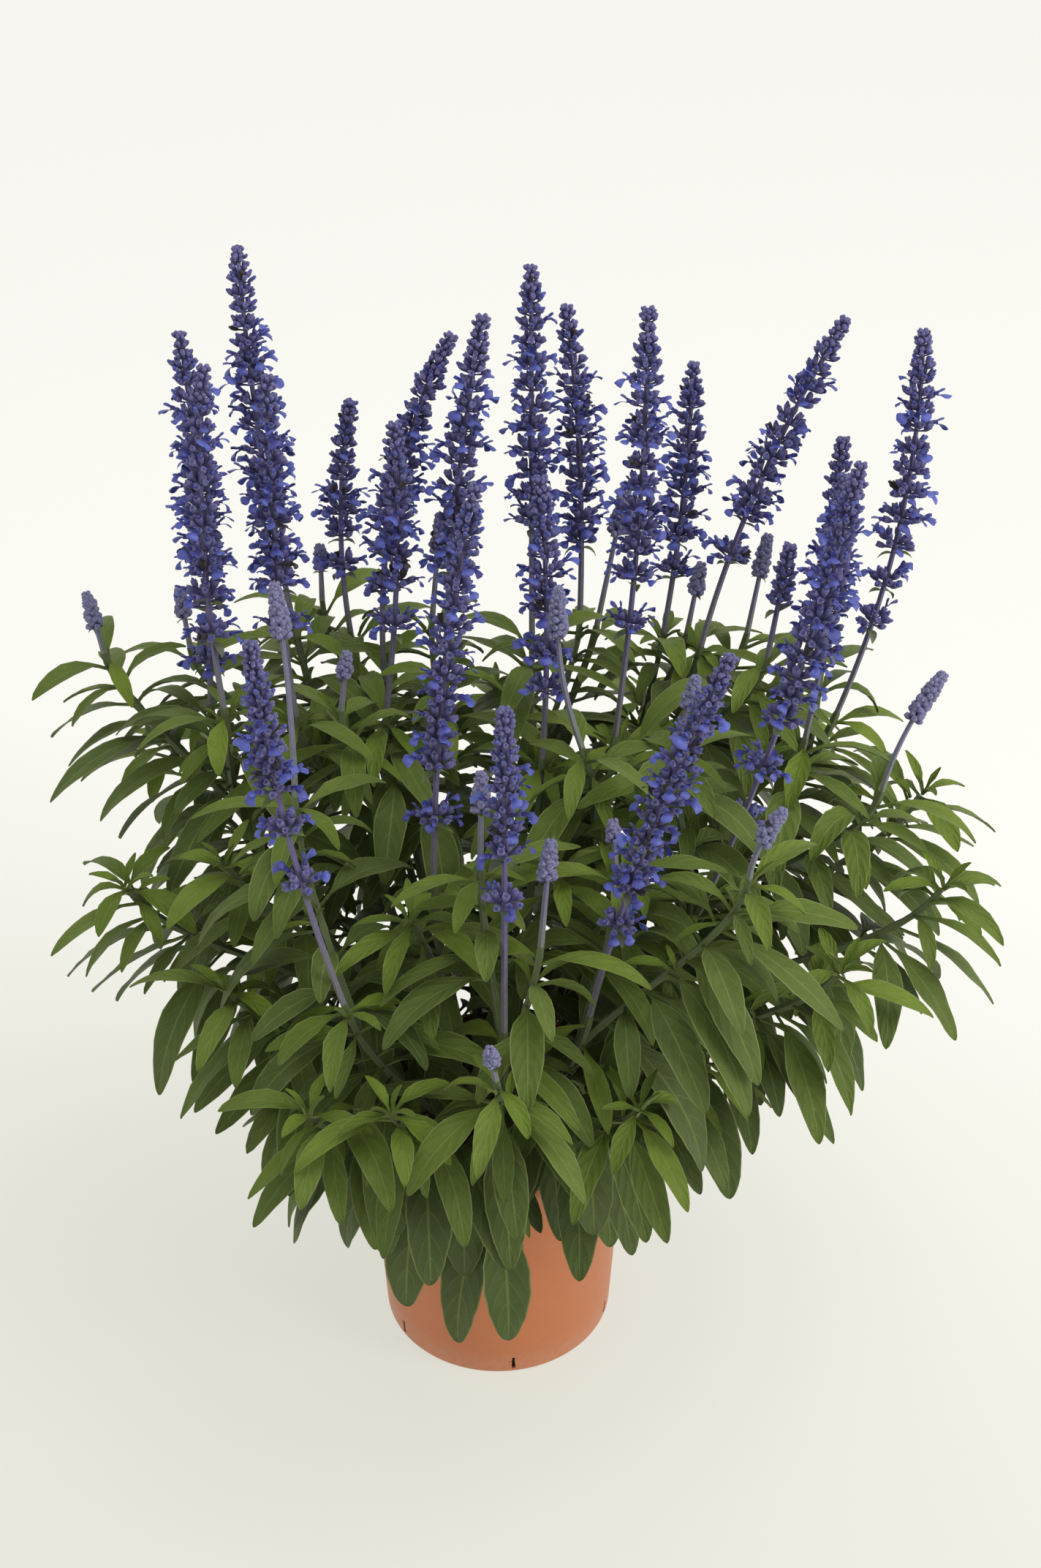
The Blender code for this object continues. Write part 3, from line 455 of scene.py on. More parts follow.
# Flower spikes: where each one stands
# Every spike rises on a square violet stalk from a leafy stem. The rows give the foot of the stalk, the
# tip, the sideways bow at mid length, the length in close flower and the spacing of the whorls below it.
SPIKES = {
    "spike_01": ((-0.173, 0.080, 0.415), (-0.178, 0.120, 0.636), (0.004, 0, 0), 0.135, (0.026, 0.036)),
    "spike_02": ((-0.158, 0.035, 0.440), (-0.160, 0.080, 0.633), (-0.006, 0, 0), 0.130, (0.024,)),
    "spike_03": ((-0.125, 0.130, 0.440), (-0.147, 0.160, 0.672), (-0.004, 0, 0), 0.165, (0.026,)),
    "spike_04": ((-0.118, 0.050, 0.425), (-0.126, 0.090, 0.623), (-0.004, 0, 0), 0.120, (0.026,)),
    "spike_05": ((-0.094, 0.170, 0.415), (-0.089, 0.190, 0.564), (-0.006, 0, 0), 0.085, (0.022,)),
    "spike_06": ((-0.070, 0.125, 0.405), (-0.025, 0.145, 0.625), (-0.014, 0, 0.008), 0.140, (0.026,)),
    "spike_07": ((-0.066, 0.070, 0.415), (-0.057, 0.095, 0.592), (0.004, 0, 0), 0.095, (0.028,)),
    "spike_08": ((-0.030, 0.085, 0.440), (-0.006, 0.105, 0.652), (-0.004, 0, 0), 0.150, ()),
    "spike_09": ((-0.035, -0.030, 0.360), (-0.009, 0.000, 0.599), (-0.006, 0, 0), 0.165, (0.034,)),
    "spike_10": ((0.022, 0.105, 0.450), (0.021, 0.140, 0.668), (0, 0, 0), 0.150, ()),
    "spike_11": ((0.052, 0.145, 0.435), (0.042, 0.170, 0.633), (0.004, 0, 0), 0.145, ()),
    "spike_12": ((0.028, 0.035, 0.405), (0.026, 0.060, 0.575), (0.003, 0, 0), 0.080, (0.026, 0.022)),
    "spike_13": ((0.072, 0.060, 0.405), (0.087, 0.120, 0.651), (0.004, 0, 0), 0.155, (0.030,)),
    "spike_14": ((0.106, 0.160, 0.420), (0.119, 0.185, 0.591), (0.003, 0, 0), 0.110, (0.022,)),
    "spike_15": ((0.127, 0.125, 0.430), (0.203, 0.150, 0.633), (-0.008, 0, 0), 0.130, (0.028,)),
    "spike_16": ((0.162, 0.075, 0.450), (0.172, 0.085, 0.520), (0, 0, 0), 0.036, ()),
    "spike_17": ((0.200, 0.110, 0.430), (0.205, 0.135, 0.565), (0, 0, 0), 0.085, ()),
    "spike_18": ((0.185, 0.050, 0.410), (0.198, 0.070, 0.572), (0.003, 0, 0), 0.105, ()),
    "spike_19": ((0.126, -0.035, 0.365), (0.197, 0.015, 0.605), (0.006, 0, 0), 0.150, (0.030, 0.034)),
    "spike_20": ((0.210, 0.095, 0.400), (0.243, 0.120, 0.638), (0.012, 0, 0), 0.130, (0.024, 0.026)),
    "spike_21": ((0.054, -0.100, 0.320), (0.121, -0.100, 0.553), (-0.006, 0, 0), 0.150, (0.028,)),
    "spike_22": ((-0.082, -0.120, 0.345), (-0.118, -0.120, 0.572), (-0.006, 0, 0), 0.085, (0.026, 0.036)),
    "spike_23": ((0.006, -0.120, 0.325), (0.007, -0.100, 0.522), (0, 0, 0), 0.085, (0.030,)),
    "bud_01": ((0.050, 0.000, 0.435), (0.036, 0.010, 0.531), (-0.005, 0, 0), 0.026, ()),
    "bud_02": ((0.063, 0.150, 0.430), (0.080, 0.165, 0.520), (0, 0, 0), 0.030, ()),
    "bud_03": ((-0.040, 0.140, 0.440), (-0.034, 0.150, 0.506), (0, 0, 0), 0.022, ()),
    "bud_04": ((0.158, 0.150, 0.425), (0.168, 0.160, 0.487), (0, 0, 0), 0.024, ()),
    "bud_05": ((0.230, 0.030, 0.385), (0.262, 0.050, 0.453), (-0.004, 0, 0), 0.030, ()),
    "bud_06": ((0.138, -0.100, 0.415), (0.153, -0.100, 0.458), (-0.003, 0, 0), 0.020, ()),
    "bud_07": ((0.104, 0.000, 0.435), (0.113, 0.000, 0.480), (0, 0, 0), 0.018, ()),
    "bud_08": ((-0.112, -0.030, 0.421), (-0.119, 0.000, 0.539), (0.002, 0, 0), 0.028, ()),
    "bud_09": ((-0.236, 0.090, 0.445), (-0.242, 0.090, 0.484), (0, 0, 0), 0.020, ()),
    "bud_10": ((-0.189, 0.120, 0.432), (-0.193, 0.125, 0.468), (0, 0, 0), 0.016, ()),
    "bud_11": ((-0.112, 0.180, 0.432), (-0.112, 0.185, 0.467), (0, 0, 0), 0.014, ()),
    "bud_12": ((-0.090, 0.040, 0.435), (-0.086, 0.045, 0.470), (0, 0, 0), 0.014, ()),
    "bud_13": ((-0.007, -0.080, 0.408), (-0.006, -0.070, 0.462), (0, 0, 0), 0.020, ()),
    "bud_14": ((0.026, -0.112, 0.378), (0.031, -0.095, 0.435), (0, 0, 0), 0.020, ()),
    "bud_15": ((0.068, -0.062, 0.396), (0.066, -0.055, 0.420), (0, 0, 0), 0.010, ()),
    "bud_16": ((0.002, -0.172, 0.335), (-0.001, -0.174, 0.357), (0, 0, 0), 0.010, ()),
    "bud_17": ((0.120, 0.150, 0.425), (0.127, 0.155, 0.470), (0, 0, 0), 0.018, ()),
}


class Line:
    """A line through points, with a way and two sides at each one that are carried along without twist."""

    def __init__(self, points, turn=0.0):
        self.points, self.reach = points, [0.0]
        for before, after in zip(points, points[1:]):
            self.reach.append(self.reach[-1] + (after - before).length)
        self.length = self.reach[-1]
        ways = [(points[min(i + 1, len(points) - 1)] - points[max(i - 1, 0)]).normalized()
                for i in range(len(points))]
        side = ways[0].cross(Vector((math.sin(turn), math.cos(turn), 0))).normalized()
        self.frames = []
        for index, way in enumerate(ways):
            if index:
                side = ways[index - 1].rotation_difference(way) @ side
            side = (side - way * side.dot(way)).normalized()
            self.frames.append((way, side, way.cross(side)))

    def at(self, distance):
        """The point at a distance along the line."""
        last = len(self.points) - 1
        index = next((i for i in range(1, last) if self.reach[i] >= distance), last)
        before = self.reach[index - 1]
        share = (distance - before) / (self.reach[index] - before)
        return self.points[index - 1].lerp(self.points[index], share)

    def frame_at(self, distance):
        """The way and the two sides at the line's point nearest to a distance."""
        return self.frames[min(range(len(self.points)), key=lambda i: abs(self.reach[i] - distance))]


def leaned(first, second, angle):
    """A way turned by an angle from one way towards another that is square to it."""
    return first * math.cos(angle) + second * math.sin(angle)


def ring(centre, side, other, radii):
    """Points round a centre, one for each radius."""
    count = len(radii)
    return [centre + leaned(side, other, math.tau * k / count) * radii[k] for k in range(count)]


def spike_line(name, count=24):
    """Points along a spike from the foot of its stalk to its tip."""
    foot, tip, bow = (Vector(v) for v in SPIKES[name][:3])
    middle = (foot + tip) / 2 + bow * 2
    return [foot * (1 - t)**2 + middle * 2 * t * (1 - t) + tip * t**2
            for t in (k / count for k in range(count + 1))]


class Growth:
    """What one plant piece is made of: its points and faces, and for every point its marks.

    The mark "spot" is where a point lies on its own part, and the mark "nature" is that part's age,
    its chance number and its third trait, which the finishes read as colour.
    """

    def __init__(self):
        self.points, self.faces, self.finishes = [], [], []
        self.spots, self.natures = [], []

    def add(self, points, faces, finish, spots, nature):
        first = len(self.points)
        self.points += points
        self.faces += [[first + k for k in face] for face in faces]
        self.finishes += [finish] * len(faces)
        self.spots += spots
        self.natures += [nature] * len(points)

    def piece(self, name, materials):
        """The finished object, smooth but for its thin edges, with the marks as mesh attributes."""
        made = meshed(name, self.points, self.faces)
        for material in materials:
            made.data.materials.append(material)
        made.data.polygons.foreach_set("material_index", self.finishes)
        for mark, values in (("spot", self.spots), ("nature", self.natures)):
            attribute = made.data.attributes.new(mark, "FLOAT_VECTOR", "POINT")
            attribute.data.foreach_set("vector", np.array(values, np.float32).ravel())
        made.data.shade_smooth()
        made.data.set_sharp_from_angle(angle=math.radians(80))
        return made


# Florets
# Each floret has a plump ribbed calyx under mealy grey-violet down. In an open floret the corolla comes
# out of it: a short tube, a small arched upper lip and a broad lower lip, all deep velvety blue.
BUD_RADIUS = 0.0062
WHORL_RADIUS = 0.0135
CALYX_SIDES = 6
WHORL_STEP_TIP = 0.0040
WHORL_STEP_FULL = 0.0142
WHORL_SPREAD = (0.86, 1.16)
WHORL_STEP_RISE = 0.045
BUD_STEP_TIP = 0.0025
BUD_STEP_FULL = 0.0044
BUD_STEP_RISE = 0.012
RIPENING = 0.045
BUD_RIPENING = 0.012
FLORETS_FULL = 9
FLORETS_TIP = 7
INNER_SHARE = 0.6
CALYX_YOUNG = 0.0030
CALYX_RIPE = 0.0058
# Each profile row gives a share along, a width and a painted shade value, low at the foot, that the down
# reads.
BUD_PROFILE = ((0.0, 0.42, 0.1), (0.50, 1.0, 0.5), (0.93, 0.72, 1.0))
BELL_PROFILE = ((0.0, 0.36, 0.1), (0.34, 0.80, 0.3), (0.76, 0.96, 0.7), (1.0, 0.86, 1.0))
PEEPING_SHARE = 0.5
LOWER_LIP = 0.0076
LIP_WIDEST = 0.62
LOWER_LIP_ROWS = (0.0, 0.20, 0.40, 0.60, 0.78, 0.91, 1.0)
UPPER_LIP = 0.0042
UPPER_LIP_ROWS = (0.0, 0.4, 0.75, 1.0)
PETAL_THICKNESS = 0.00018
TUBE = 0.0028
CROWN_FLORETS = 5
BRACT_ROWS = (0.0, 0.15, 0.35, 0.60, 0.82, 1.0)
STALK_STEPS = 26
STALK_FOOT_HALF = 0.0014
STALK_TIP_HALF = 0.0009
BLOOM_SHARE = (0.40, 0.62)
CALYX, COROLLA, STALK, BRACT = 0, 1, 2, 3
IN_BUD, RIPE, PEEPING, OPEN = 0, 1, 2, 3


def whorl_radius(young, below_tip):
    """How far flowers stand out at a distance below a spike's tip."""
    full, rise = (BUD_RADIUS, 0.010) if young else (WHORL_RADIUS, 0.035)
    return full * (0.28 + 0.72 * (1 - math.exp(-below_tip / rise)))


def whorl_places(name, young, draw):
    """The distances of a spike's real whorls below its tip, and how many of them are loose."""
    close, loose = SPIKES[name][3:]
    tip, full, rise = WHORL_STEP_TIP, WHORL_STEP_FULL, WHORL_STEP_RISE
    if young:
        tip, full, rise = BUD_STEP_TIP, BUD_STEP_FULL, BUD_STEP_RISE
    places, below = [], tip * 0.7
    while below < close + full * 0.3:
        places.append(below)
        below += (tip + (full - tip) * (1 - math.exp(-below / rise))) * draw.uniform(0.85, 1.15)
    stretch = close / places[-1]
    places = [place * stretch for place in places]
    for spacing in loose:
        places.append(places[-1] + spacing)
    return places, len(loose)


def pointed(points, faces, count, tip):
    """Close the open end of a sleeve to a point."""
    top = len(points) - count
    faces += [[top + k, top + (k + 1) % count, len(points)] for k in range(count)]
    points.append(tip)


def calyx(growth, foot, base, way, up, length, width, ripe, nature):
    """A ribbed calyx on its short stalk: a closed downy bud while young, a toothed bell when it is ripe."""
    side = way.cross(up).normalized()
    other = side.cross(way)
    rings = [ring(foot, side, other, [0.00045] * CALYX_SIDES)]
    spots = [(0.0, 0.0, 0.0)] * CALYX_SIDES
    for along, wide, shade in BELL_PROFILE if ripe else BUD_PROFILE:
        ribs = [width * wide * (1.07 if k % 2 else 0.93) for k in range(CALYX_SIDES)]
        rings.append(ring(base + way * length * along, side, other, ribs))
        spots += [(shade, 0.0, k % 2) for k in range(CALYX_SIDES)]
    if ripe:
        rings[-1] = [point + way * length * (0.09 if k % 2 else -0.03) for k, point in enumerate(rings[-1])]
    points, faces = sleeve(rings, closed_tip=False)
    pointed(points, faces, CALYX_SIDES, base + way * length * (0.80 if ripe else 1.04))
    # The mouth's point gets the mark 1.3, where the down falls away and leaves a painted shade.
    growth.add(points, faces, CALYX, spots + [(1.3, 0.0, 0.0)], nature)


def petal_bud(growth, mouth, way, up, nature, draw):
    """A corolla that is still rolled up and just peeps out of its calyx."""
    side = way.cross(up).normalized()
    size = draw.uniform(0.75, 1.15)
    rings = [ring(mouth + way * size * along, side, up, [wide * size] * 5)
             for along, wide in ((-0.0010, 0.0007), (0.0008, 0.0012), (0.0020, 0.0009))]
    points, faces = sleeve(rings, closed_tip=False)
    pointed(points, faces, 5, mouth + way * size * 0.0026)
    growth.add(points, faces, COROLLA, [(0.2 + 0.3 * (k // 5), 0.0, 1.0) for k in range(16)], nature)


def petal_thickness(row, across):
    """The same everywhere on a petal."""
    return PETAL_THICKNESS


def sheet(rows, cells, place, thickness=petal_thickness, mark=lambda row: row):
    """A thin closed sheet, with its marks.

    place gives the point and the upward way, and thickness the depth, at a row and a share across. mark
    gives how far along the finish takes a row to be.
    """
    shares = [2 * k / cells - 1 for k in range(cells + 1)]
    rings, spots = [], []
    for row in rows:
        upper, lower = [], []
        for across in shares:
            point, up = place(row, across)
            upper.append(point)
            if abs(across) < 1:
                lower.append(point - up * thickness(row, across))
        rings.append(upper + lower[::-1])
        spots += [(mark(row), across, 1.0) for across in shares]
        spots += [(mark(row), across, 0.0) for across in shares[-2:0:-1]]
    points, faces = sleeve(rings)
    return points, [face[::-1] for face in faces], spots


def corolla(growth, mouth, way, up, size, nature, draw):
    """The blue tube of an open floret, its small hooded upper lip and its broad round lower lip."""
    side = way.cross(up).normalized()
    over = side.cross(way).normalized()
    out = (way - over * draw.uniform(0.1, 0.7)).normalized()
    side = leaned(side, side.cross(out), draw.uniform(-0.7, 0.7))
    roof = side.cross(out).normalized()
    rings = [ring(mouth - way * size * 0.0012, side, over, [0.0009 * size] * 6),
             ring(mouth + way * size * TUBE * 0.5, side, over, [0.0012 * size] * 6),
             ring(mouth + way * size * TUBE * 0.5 + out * size * TUBE * 0.5, side, roof, [0.0016 * size] * 6)]
    points, faces = sleeve(rings)
    growth.add(points, faces, COROLLA, [(0.1 * (k // 6), 0.0, 1.0) for k in range(18)], nature)
    throat = mouth + (way + out) * size * TUBE * 0.5
    arc = draw.uniform(0.4, 1.5)
    cup = draw.uniform(-1.1, -0.1)
    reach = LOWER_LIP * size * draw.uniform(0.85, 1.1)
    wide = reach * draw.uniform(0.46, 0.58)
    frill = draw.uniform(0, math.tau)

    def lower(along, across):
        if along < LIP_WIDEST:
            half = wide * (0.22 + 0.78 * math.sin(math.pi / 2 * along / LIP_WIDEST)**1.7)
        else:
            half = wide * math.sqrt(1 - ((along - LIP_WIDEST) / 0.42)**2)
        notch = 0.09 * max(0.0, 1 - abs(across) * 2.2) * along**6
        turn = arc * along
        sunk = reach * (1 - math.cos(turn)) / arc
        forward = reach * (math.sin(turn) / arc - notch - 0.10 * across * across * along * along)
        wave = 0.05 * reach * math.sin(across * 5 + frill) * along
        face = leaned(roof, out, turn)
        point = (throat - roof * (0.0011 * size + sunk) + out * forward + side * across * half
                 + face * (cup * half * across * across * along + wave))
        return point, face

    def upper(along, across):
        half = UPPER_LIP * size * 0.40 * (0.55 + 0.6 * math.sin(math.pi * (0.15 + 0.72 * along)))
        arch = UPPER_LIP * size * (0.42 * math.sin(math.pi * 0.6 * along) - 0.12 * along)
        point = (throat + roof * (0.0013 * size + arch) + out * UPPER_LIP * size * along
                 + side * across * half - roof * half * 0.7 * across * across)
        return point, roof

    for rows, cells, place in ((LOWER_LIP_ROWS, 4, lower), (UPPER_LIP_ROWS, 2, upper)):
        points, faces, spots = sheet(rows, cells, place, mark=lambda row: 0.3 + row)
        growth.add(points, faces, COROLLA, spots, nature)


def stage_of(young, ripeness, openness, draw):
    """How far one floret has come: in bud, ripe, with its corolla peeping out, or open."""
    if young or ripeness < 0.35:
        return IN_BUD
    if draw.random() < openness:
        return OPEN
    return PEEPING if draw.random() < PEEPING_SHARE else RIPE


def floret(growth, centre, way, out, lift, reach, ripeness, stage, draw):
    """One floret that leans out of its whorl: a calyx on its stalk, and the corolla as far as it has come."""
    aim = leaned(out, way, lift)
    up = leaned(way, -out, lift)
    length = (CALYX_YOUNG + (CALYX_RIPE - CALYX_YOUNG) * ripeness) * draw.uniform(0.9, 1.12)
    foot = centre + out * 0.0008
    rise = way * (reach * 0.25 * math.sin(lift))
    base = foot + out * max(0.0, reach - length * math.cos(lift)) + rise
    width = length * draw.uniform(0.36, 0.43)
    withered = 1.0 if draw.random() < 0.03 * ripeness else 0.0
    nature = (ripeness, draw.random(), withered)
    calyx(growth, foot, base, aim, up, length, width, stage > IN_BUD, nature)
    if stage == OPEN:
        size = draw.uniform(0.80, 1.08) * (0.55 if withered else 1.0)
        corolla(growth, base + aim * length * 0.98, aim, up, size, nature, draw)
    elif stage == PEEPING:
        petal_bud(growth, base + aim * length * 0.95, aim, up, nature, draw)


def whorl(growth, centre, frame, young, below, draw, openness):
    """The florets round one node of a spike: an outer tier that leans out and a steeper inner one."""
    way, side, other = frame
    radius = whorl_radius(young, below) * (0.80 if young else 0.70 * draw.uniform(*WHORL_SPREAD))
    ripeness = 1 - math.exp(-below / (BUD_RIPENING if young else RIPENING))
    turn = draw.uniform(0, math.tau)

    def put(angle, degrees, rise, reach, share):
        stage = stage_of(young, ripeness, share, draw)
        out = leaned(side, other, turn + angle)
        floret(growth, centre + way * rise, way, out, math.radians(degrees), reach, ripeness, stage, draw)

    outer = round(FLORETS_TIP + (FLORETS_FULL - FLORETS_TIP) * ripeness)
    for k in range(outer):
        put(math.tau * (k + draw.uniform(-0.16, 0.16)) / outer, 58 - 36 * ripeness + draw.uniform(-14, 12),
            (k % 2 - 0.5) * (0.0008 + 0.0022 * ripeness), radius * draw.uniform(0.86, 1.08), openness)
    inner = round(INNER_SHARE * outer)
    for k in range(inner):
        put(math.tau * (k + 0.5 + draw.uniform(-0.2, 0.2)) / inner, 66 + draw.uniform(-8, 8),
            0.0008 + 0.0014 * ripeness, radius * draw.uniform(0.50, 0.66), openness * 0.3)


def bract_pair(growth, centre, way, side, length, draw):
    """The two small pointed bracts under a whorl, spread or turned down as it opens."""
    turn = draw.uniform(0, math.pi)
    for half_turn in (0, math.pi):
        out = Matrix.Rotation(turn + half_turn, 3, way) @ side
        arc = draw.uniform(0.2, 1.6)
        rise = draw.uniform(-0.2, 0.7)
        start = leaned(out, way, rise).normalized()
        over = leaned(way, -out, rise).normalized()
        reach = length * draw.uniform(0.8, 1.15)

        def place(along, across):
            turned_by = arc * along
            half = reach * 0.25 * math.sin(math.pi * min(1, along * 0.93 + 0.07)**0.8) + 0.0001
            face = leaned(over, start, turned_by)
            point = (centre + out * 0.0009 + start * (reach * math.sin(turned_by) / arc)
                     - over * (reach * (1 - math.cos(turned_by)) / arc)
                     + start.cross(over) * across * half + face * (half * 0.35 * abs(across)))
            return point, face

        points, faces, spots = sheet(BRACT_ROWS, 2, place)
        growth.add(points, faces, BRACT, spots, (0.0, draw.random(), 0.0))


def stalk(growth, line):
    """The square, ridged stalk of a spike from its foot to its tip."""
    rings, spots = [], []
    for k in range(STALK_STEPS + 1):
        distance = line.length * k / STALK_STEPS
        _, side, other = line.frame_at(distance)
        half = STALK_FOOT_HALF + (STALK_TIP_HALF - STALK_FOOT_HALF) * k / STALK_STEPS
        radii = [half * (1.34 if m % 2 == 0 else 0.94) for m in range(8)]
        rings.append(ring(line.at(distance), side, other, radii))
        spots += [(k / STALK_STEPS, 0.0, m % 2) for m in range(8)]
    points, faces = sleeve(rings)
    growth.add(points, faces, STALK, spots, (0.5, 0.5, 0.0))


def make_spike(name, materials):
    """One spike: its stalk, its whorls, open in its lower two thirds, and the close buds of its crown."""
    draw = random.Random(f"florets of {name}")
    growth = Growth()
    line = Line(spike_line(name, 48))
    young = name.startswith("bud")
    stalk(growth, line)
    places, loose = whorl_places(name, young, draw)
    bloom = draw.uniform(*BLOOM_SHARE)
    for index, below in enumerate(places):
        distance = line.length - below
        centre, frame = line.at(distance), line.frame_at(distance)
        flowering = min(1.0, max(0.0, (below - 0.030) / 0.030))
        whorl(growth, centre, frame, young, below, draw, 0.0 if young else bloom * flowering)
        if index >= len(places) - loose - 1:
            length = 0.0050 if young else 0.0105
            bract_pair(growth, centre - frame[0] * length * 0.5, *frame[:2], length, draw)
    way, side, other = line.frames[-1]
    for k in range(CROWN_FLORETS):
        out = leaned(side, other, math.tau * k / CROWN_FLORETS)
        floret(growth, line.points[-1] - way * 0.0028, way, out, math.radians(74), 0.0012, 0.0, IN_BUD, draw)
    return growth.piece(f"{name}_closed" if young else f"{name}_in_bloom", materials)


def down_and_shade_group():
    """Pale down that lies thickest on ribs and rims and thins out in patches; it fades towards the calyx's
    foot and inside its mouth as painted shade.
    """
    down = Group("mealy down", {"Cover": 0.8})
    along, _, rib = down.mark("spot")
    # The spot's first value is a painted shade value: the down fades towards the calyx's foot and inside its
    # mouth.
    mask = down.maths("MULTIPLY", down.ramp(along, (0.10, 1.0), (0.35, 1.0)), down.given["Cover"])
    mouth = down.ramp(along, (1.0, 0.25), (1.02, 1.22))
    thin = down.ramp(mottling(down, 700.0, 0.5, 1.1), (0.45, 1.0))
    for factor in (mouth, down.ramp(rib, (0.65, 1.0)), thin):
        mask = down.maths("MULTIPLY", mask, factor, clamped=True)
    return down.giving(Down=mask)


MEALY_DOWN_AND_SHADE = down_and_shade_group()


def calyx_felt(name, deep, light, down, cover):
    """Violet calyx skin under pale mealy down, darker at its foot and in its mouth as painted shade, with a
    few calyces gone brown.
    """
    felt = Finish(name, 0.22, 0.75, (0.35, 0.45, (0.62, 0.62, 0.85)))
    _, chance, withered = felt.mark("nature")
    # Where the down fades at the calyx's foot and in its mouth, the darker violet is painted shade.
    colour = felt.mix(felt.mix(deep, light, chance), down, felt.group(MEALY_DOWN_AND_SHADE, cover)["Down"])
    colour = felt.mix(colour, (0.030, 0.022, 0.018), withered)
    return felt.covered(colour, mottling(felt, 2600.0, 0.5, 2.0), 0.6, 0.0002)


def velvet_petal():
    """Deep blue petals, more violet at the throat, with painted highlights along their veins and a velvety
    sheen.
    """
    velvet = Finish("velvety blue petal", 0.45, sheen=(0.3, 0.35, (0.45, 0.52, 1.0)))
    _, chance, withered = velvet.mark("nature")
    along, across, _ = velvet.mark("spot")
    patches = mottling(velvet, 500.0, 0.4, 1.2)
    wave = velvet.maths("SINE", velvet.maths("MULTIPLY", across, 19.0))
    veins = velvet.ramp(wave, (0, 0.35), (0.2, 1.0))
    colour = velvet.mix((0.045, 0.050, 0.250), (0.095, 0.125, 0.480), chance)
    colour = velvet.mix(colour, (0.050, 0.030, 0.200), velvet.ramp(along, (0.65, 0), (0.30, 0.52)))
    # The paler blue along the veins is a painted highlight; the same stripes also give the petals their
    # relief.
    colour = velvet.mix(colour, (0.14, 0.18, 0.62), veins)
    colour = velvet.mix(colour, (0.030, 0.028, 0.170), velvet.ramp(patches, (0, 0.40)))
    colour = velvet.mix(colour, (0.035, 0.025, 0.030), withered)
    return velvet.covered(colour, veins, 0.4, 0.0003, velvet.ramp(patches, (0.34, 0.56)))


def stalk_skin(name, low, high, down):
    """The ridged skin of a stalk, from green-grey at its foot to violet, with pale down on its ridges."""
    skin = Finish(name, 0.3, 0.62, (0.25, 0.5, (0.7, 0.7, 0.8)))
    along, _, ridge = skin.mark("spot")
    patches = mottling(skin, 300.0, 0.4, 1.2)
    pale = skin.maths("MULTIPLY", skin.ramp(ridge, (0.35, 0.08)), patches)
    colour = skin.mix(skin.mix(low, high, skin.ramp(along, (0, 1), (0, 0.35))), down, pale)
    return skin.covered(colour, patches, 0.4, 0.0003)


def bract_skin():
    """The thin yellow-green skin of a bract, with a violet flush on some."""
    skin = Finish("yellow-green bract", 0.3, 0.6, (0.1, 0.5, (0.85, 0.9, 0.8)))
    colour = skin.mix((0.150, 0.210, 0.050), (0.105, 0.110, 0.110), skin.mark("nature")[1])
    return skin.covered(colour, mottling(skin, 400.0, 0.4, 1.2), 0.3, 0.0002)


violet_felt = calyx_felt("mealy violet calyx", (0.040, 0.034, 0.145), (0.085, 0.074, 0.260),
                         (0.310, 0.310, 0.550), 0.75)
grey_felt = calyx_felt("grey lavender bud calyx", (0.074, 0.070, 0.190), (0.124, 0.119, 0.290),
                       (0.390, 0.390, 0.565), 0.95)
green_bract = bract_skin()
petal_velvet = velvet_petal()
violet_stalk = stalk_skin("violet stalk", (0.125, 0.122, 0.120), (0.076, 0.062, 0.172), (0.32, 0.32, 0.43))
grey_stalk = stalk_skin("grey violet stalk", (0.125, 0.145, 0.095), (0.130, 0.125, 0.205), (0.38, 0.40, 0.46))

for spike in SPIKES:
    if spike.startswith("bud"):
        finished(make_spike(spike, [grey_felt, petal_velvet, grey_stalk, green_bract]), spike)
    else:
        finished(make_spike(spike, [violet_felt, petal_velvet, violet_stalk, green_bract]), spike)

# Leafy stems
# Seventeen square green stems rise from the compost, fork, and end in spikes, buds or leafy tufts. Their
# leaves grow in opposite pairs: firm, folded along the midrib, arching down, the old ones broad and grey.
STEM_BASE_HALF = 0.0029
STEM_TOP_HALF = 0.0017
BRANCH_BASE_HALF = 0.0019
ROOT_SPREAD = 0.28
HOLE_DEPTH = 0.040
GAP = 0.0003
LINE_POINTS = 24
LONGEST_CHORD = 0.055
FORK_DROP = 0.065
FORK_SPACING = 0.011
LOWEST_FORK = 0.040
LEAF_YOUNG = 0.054
LEAF_OLD = 0.110
LEAF_GROWTH = 0.060
PAIR_FIRST = 0.009
PAIR_YOUNG = 0.022
PAIR_OLD = 0.062
PAIR_GROWTH = 0.060
LEAF_FOLD = 0.16
LEAF_KEEL = 0.0009
LEAF_FOOT_HALF = 0.0012
PETIOLE_SHARE = 0.12
LEAF_CLEAR = 0.0010
LEAF_TRIES = 9
SPINE_STEPS = 20
LEAF_FLOOR = 0.035
BARE_SIDE = (0.022, 0.100)
BARE_SIDE_TOP = 0.150
LOW_LEAF = 0.240
LOW_LEAF_SHARE = 0.82
LARGE_LEAF = 0.088
LARGE_STATIONS = (0.20, 0.50, 0.80)
SMALL_STATIONS = (0.35, 0.70)
SHADED_BELOW = 0.33
INNER_SHADED_BELOW = 0.38
MOUND_CENTRE = 0.270
MOUND_RADIUS = 0.250
MOUND_RISE = 0.130
MOUND_SHADE = 0.78

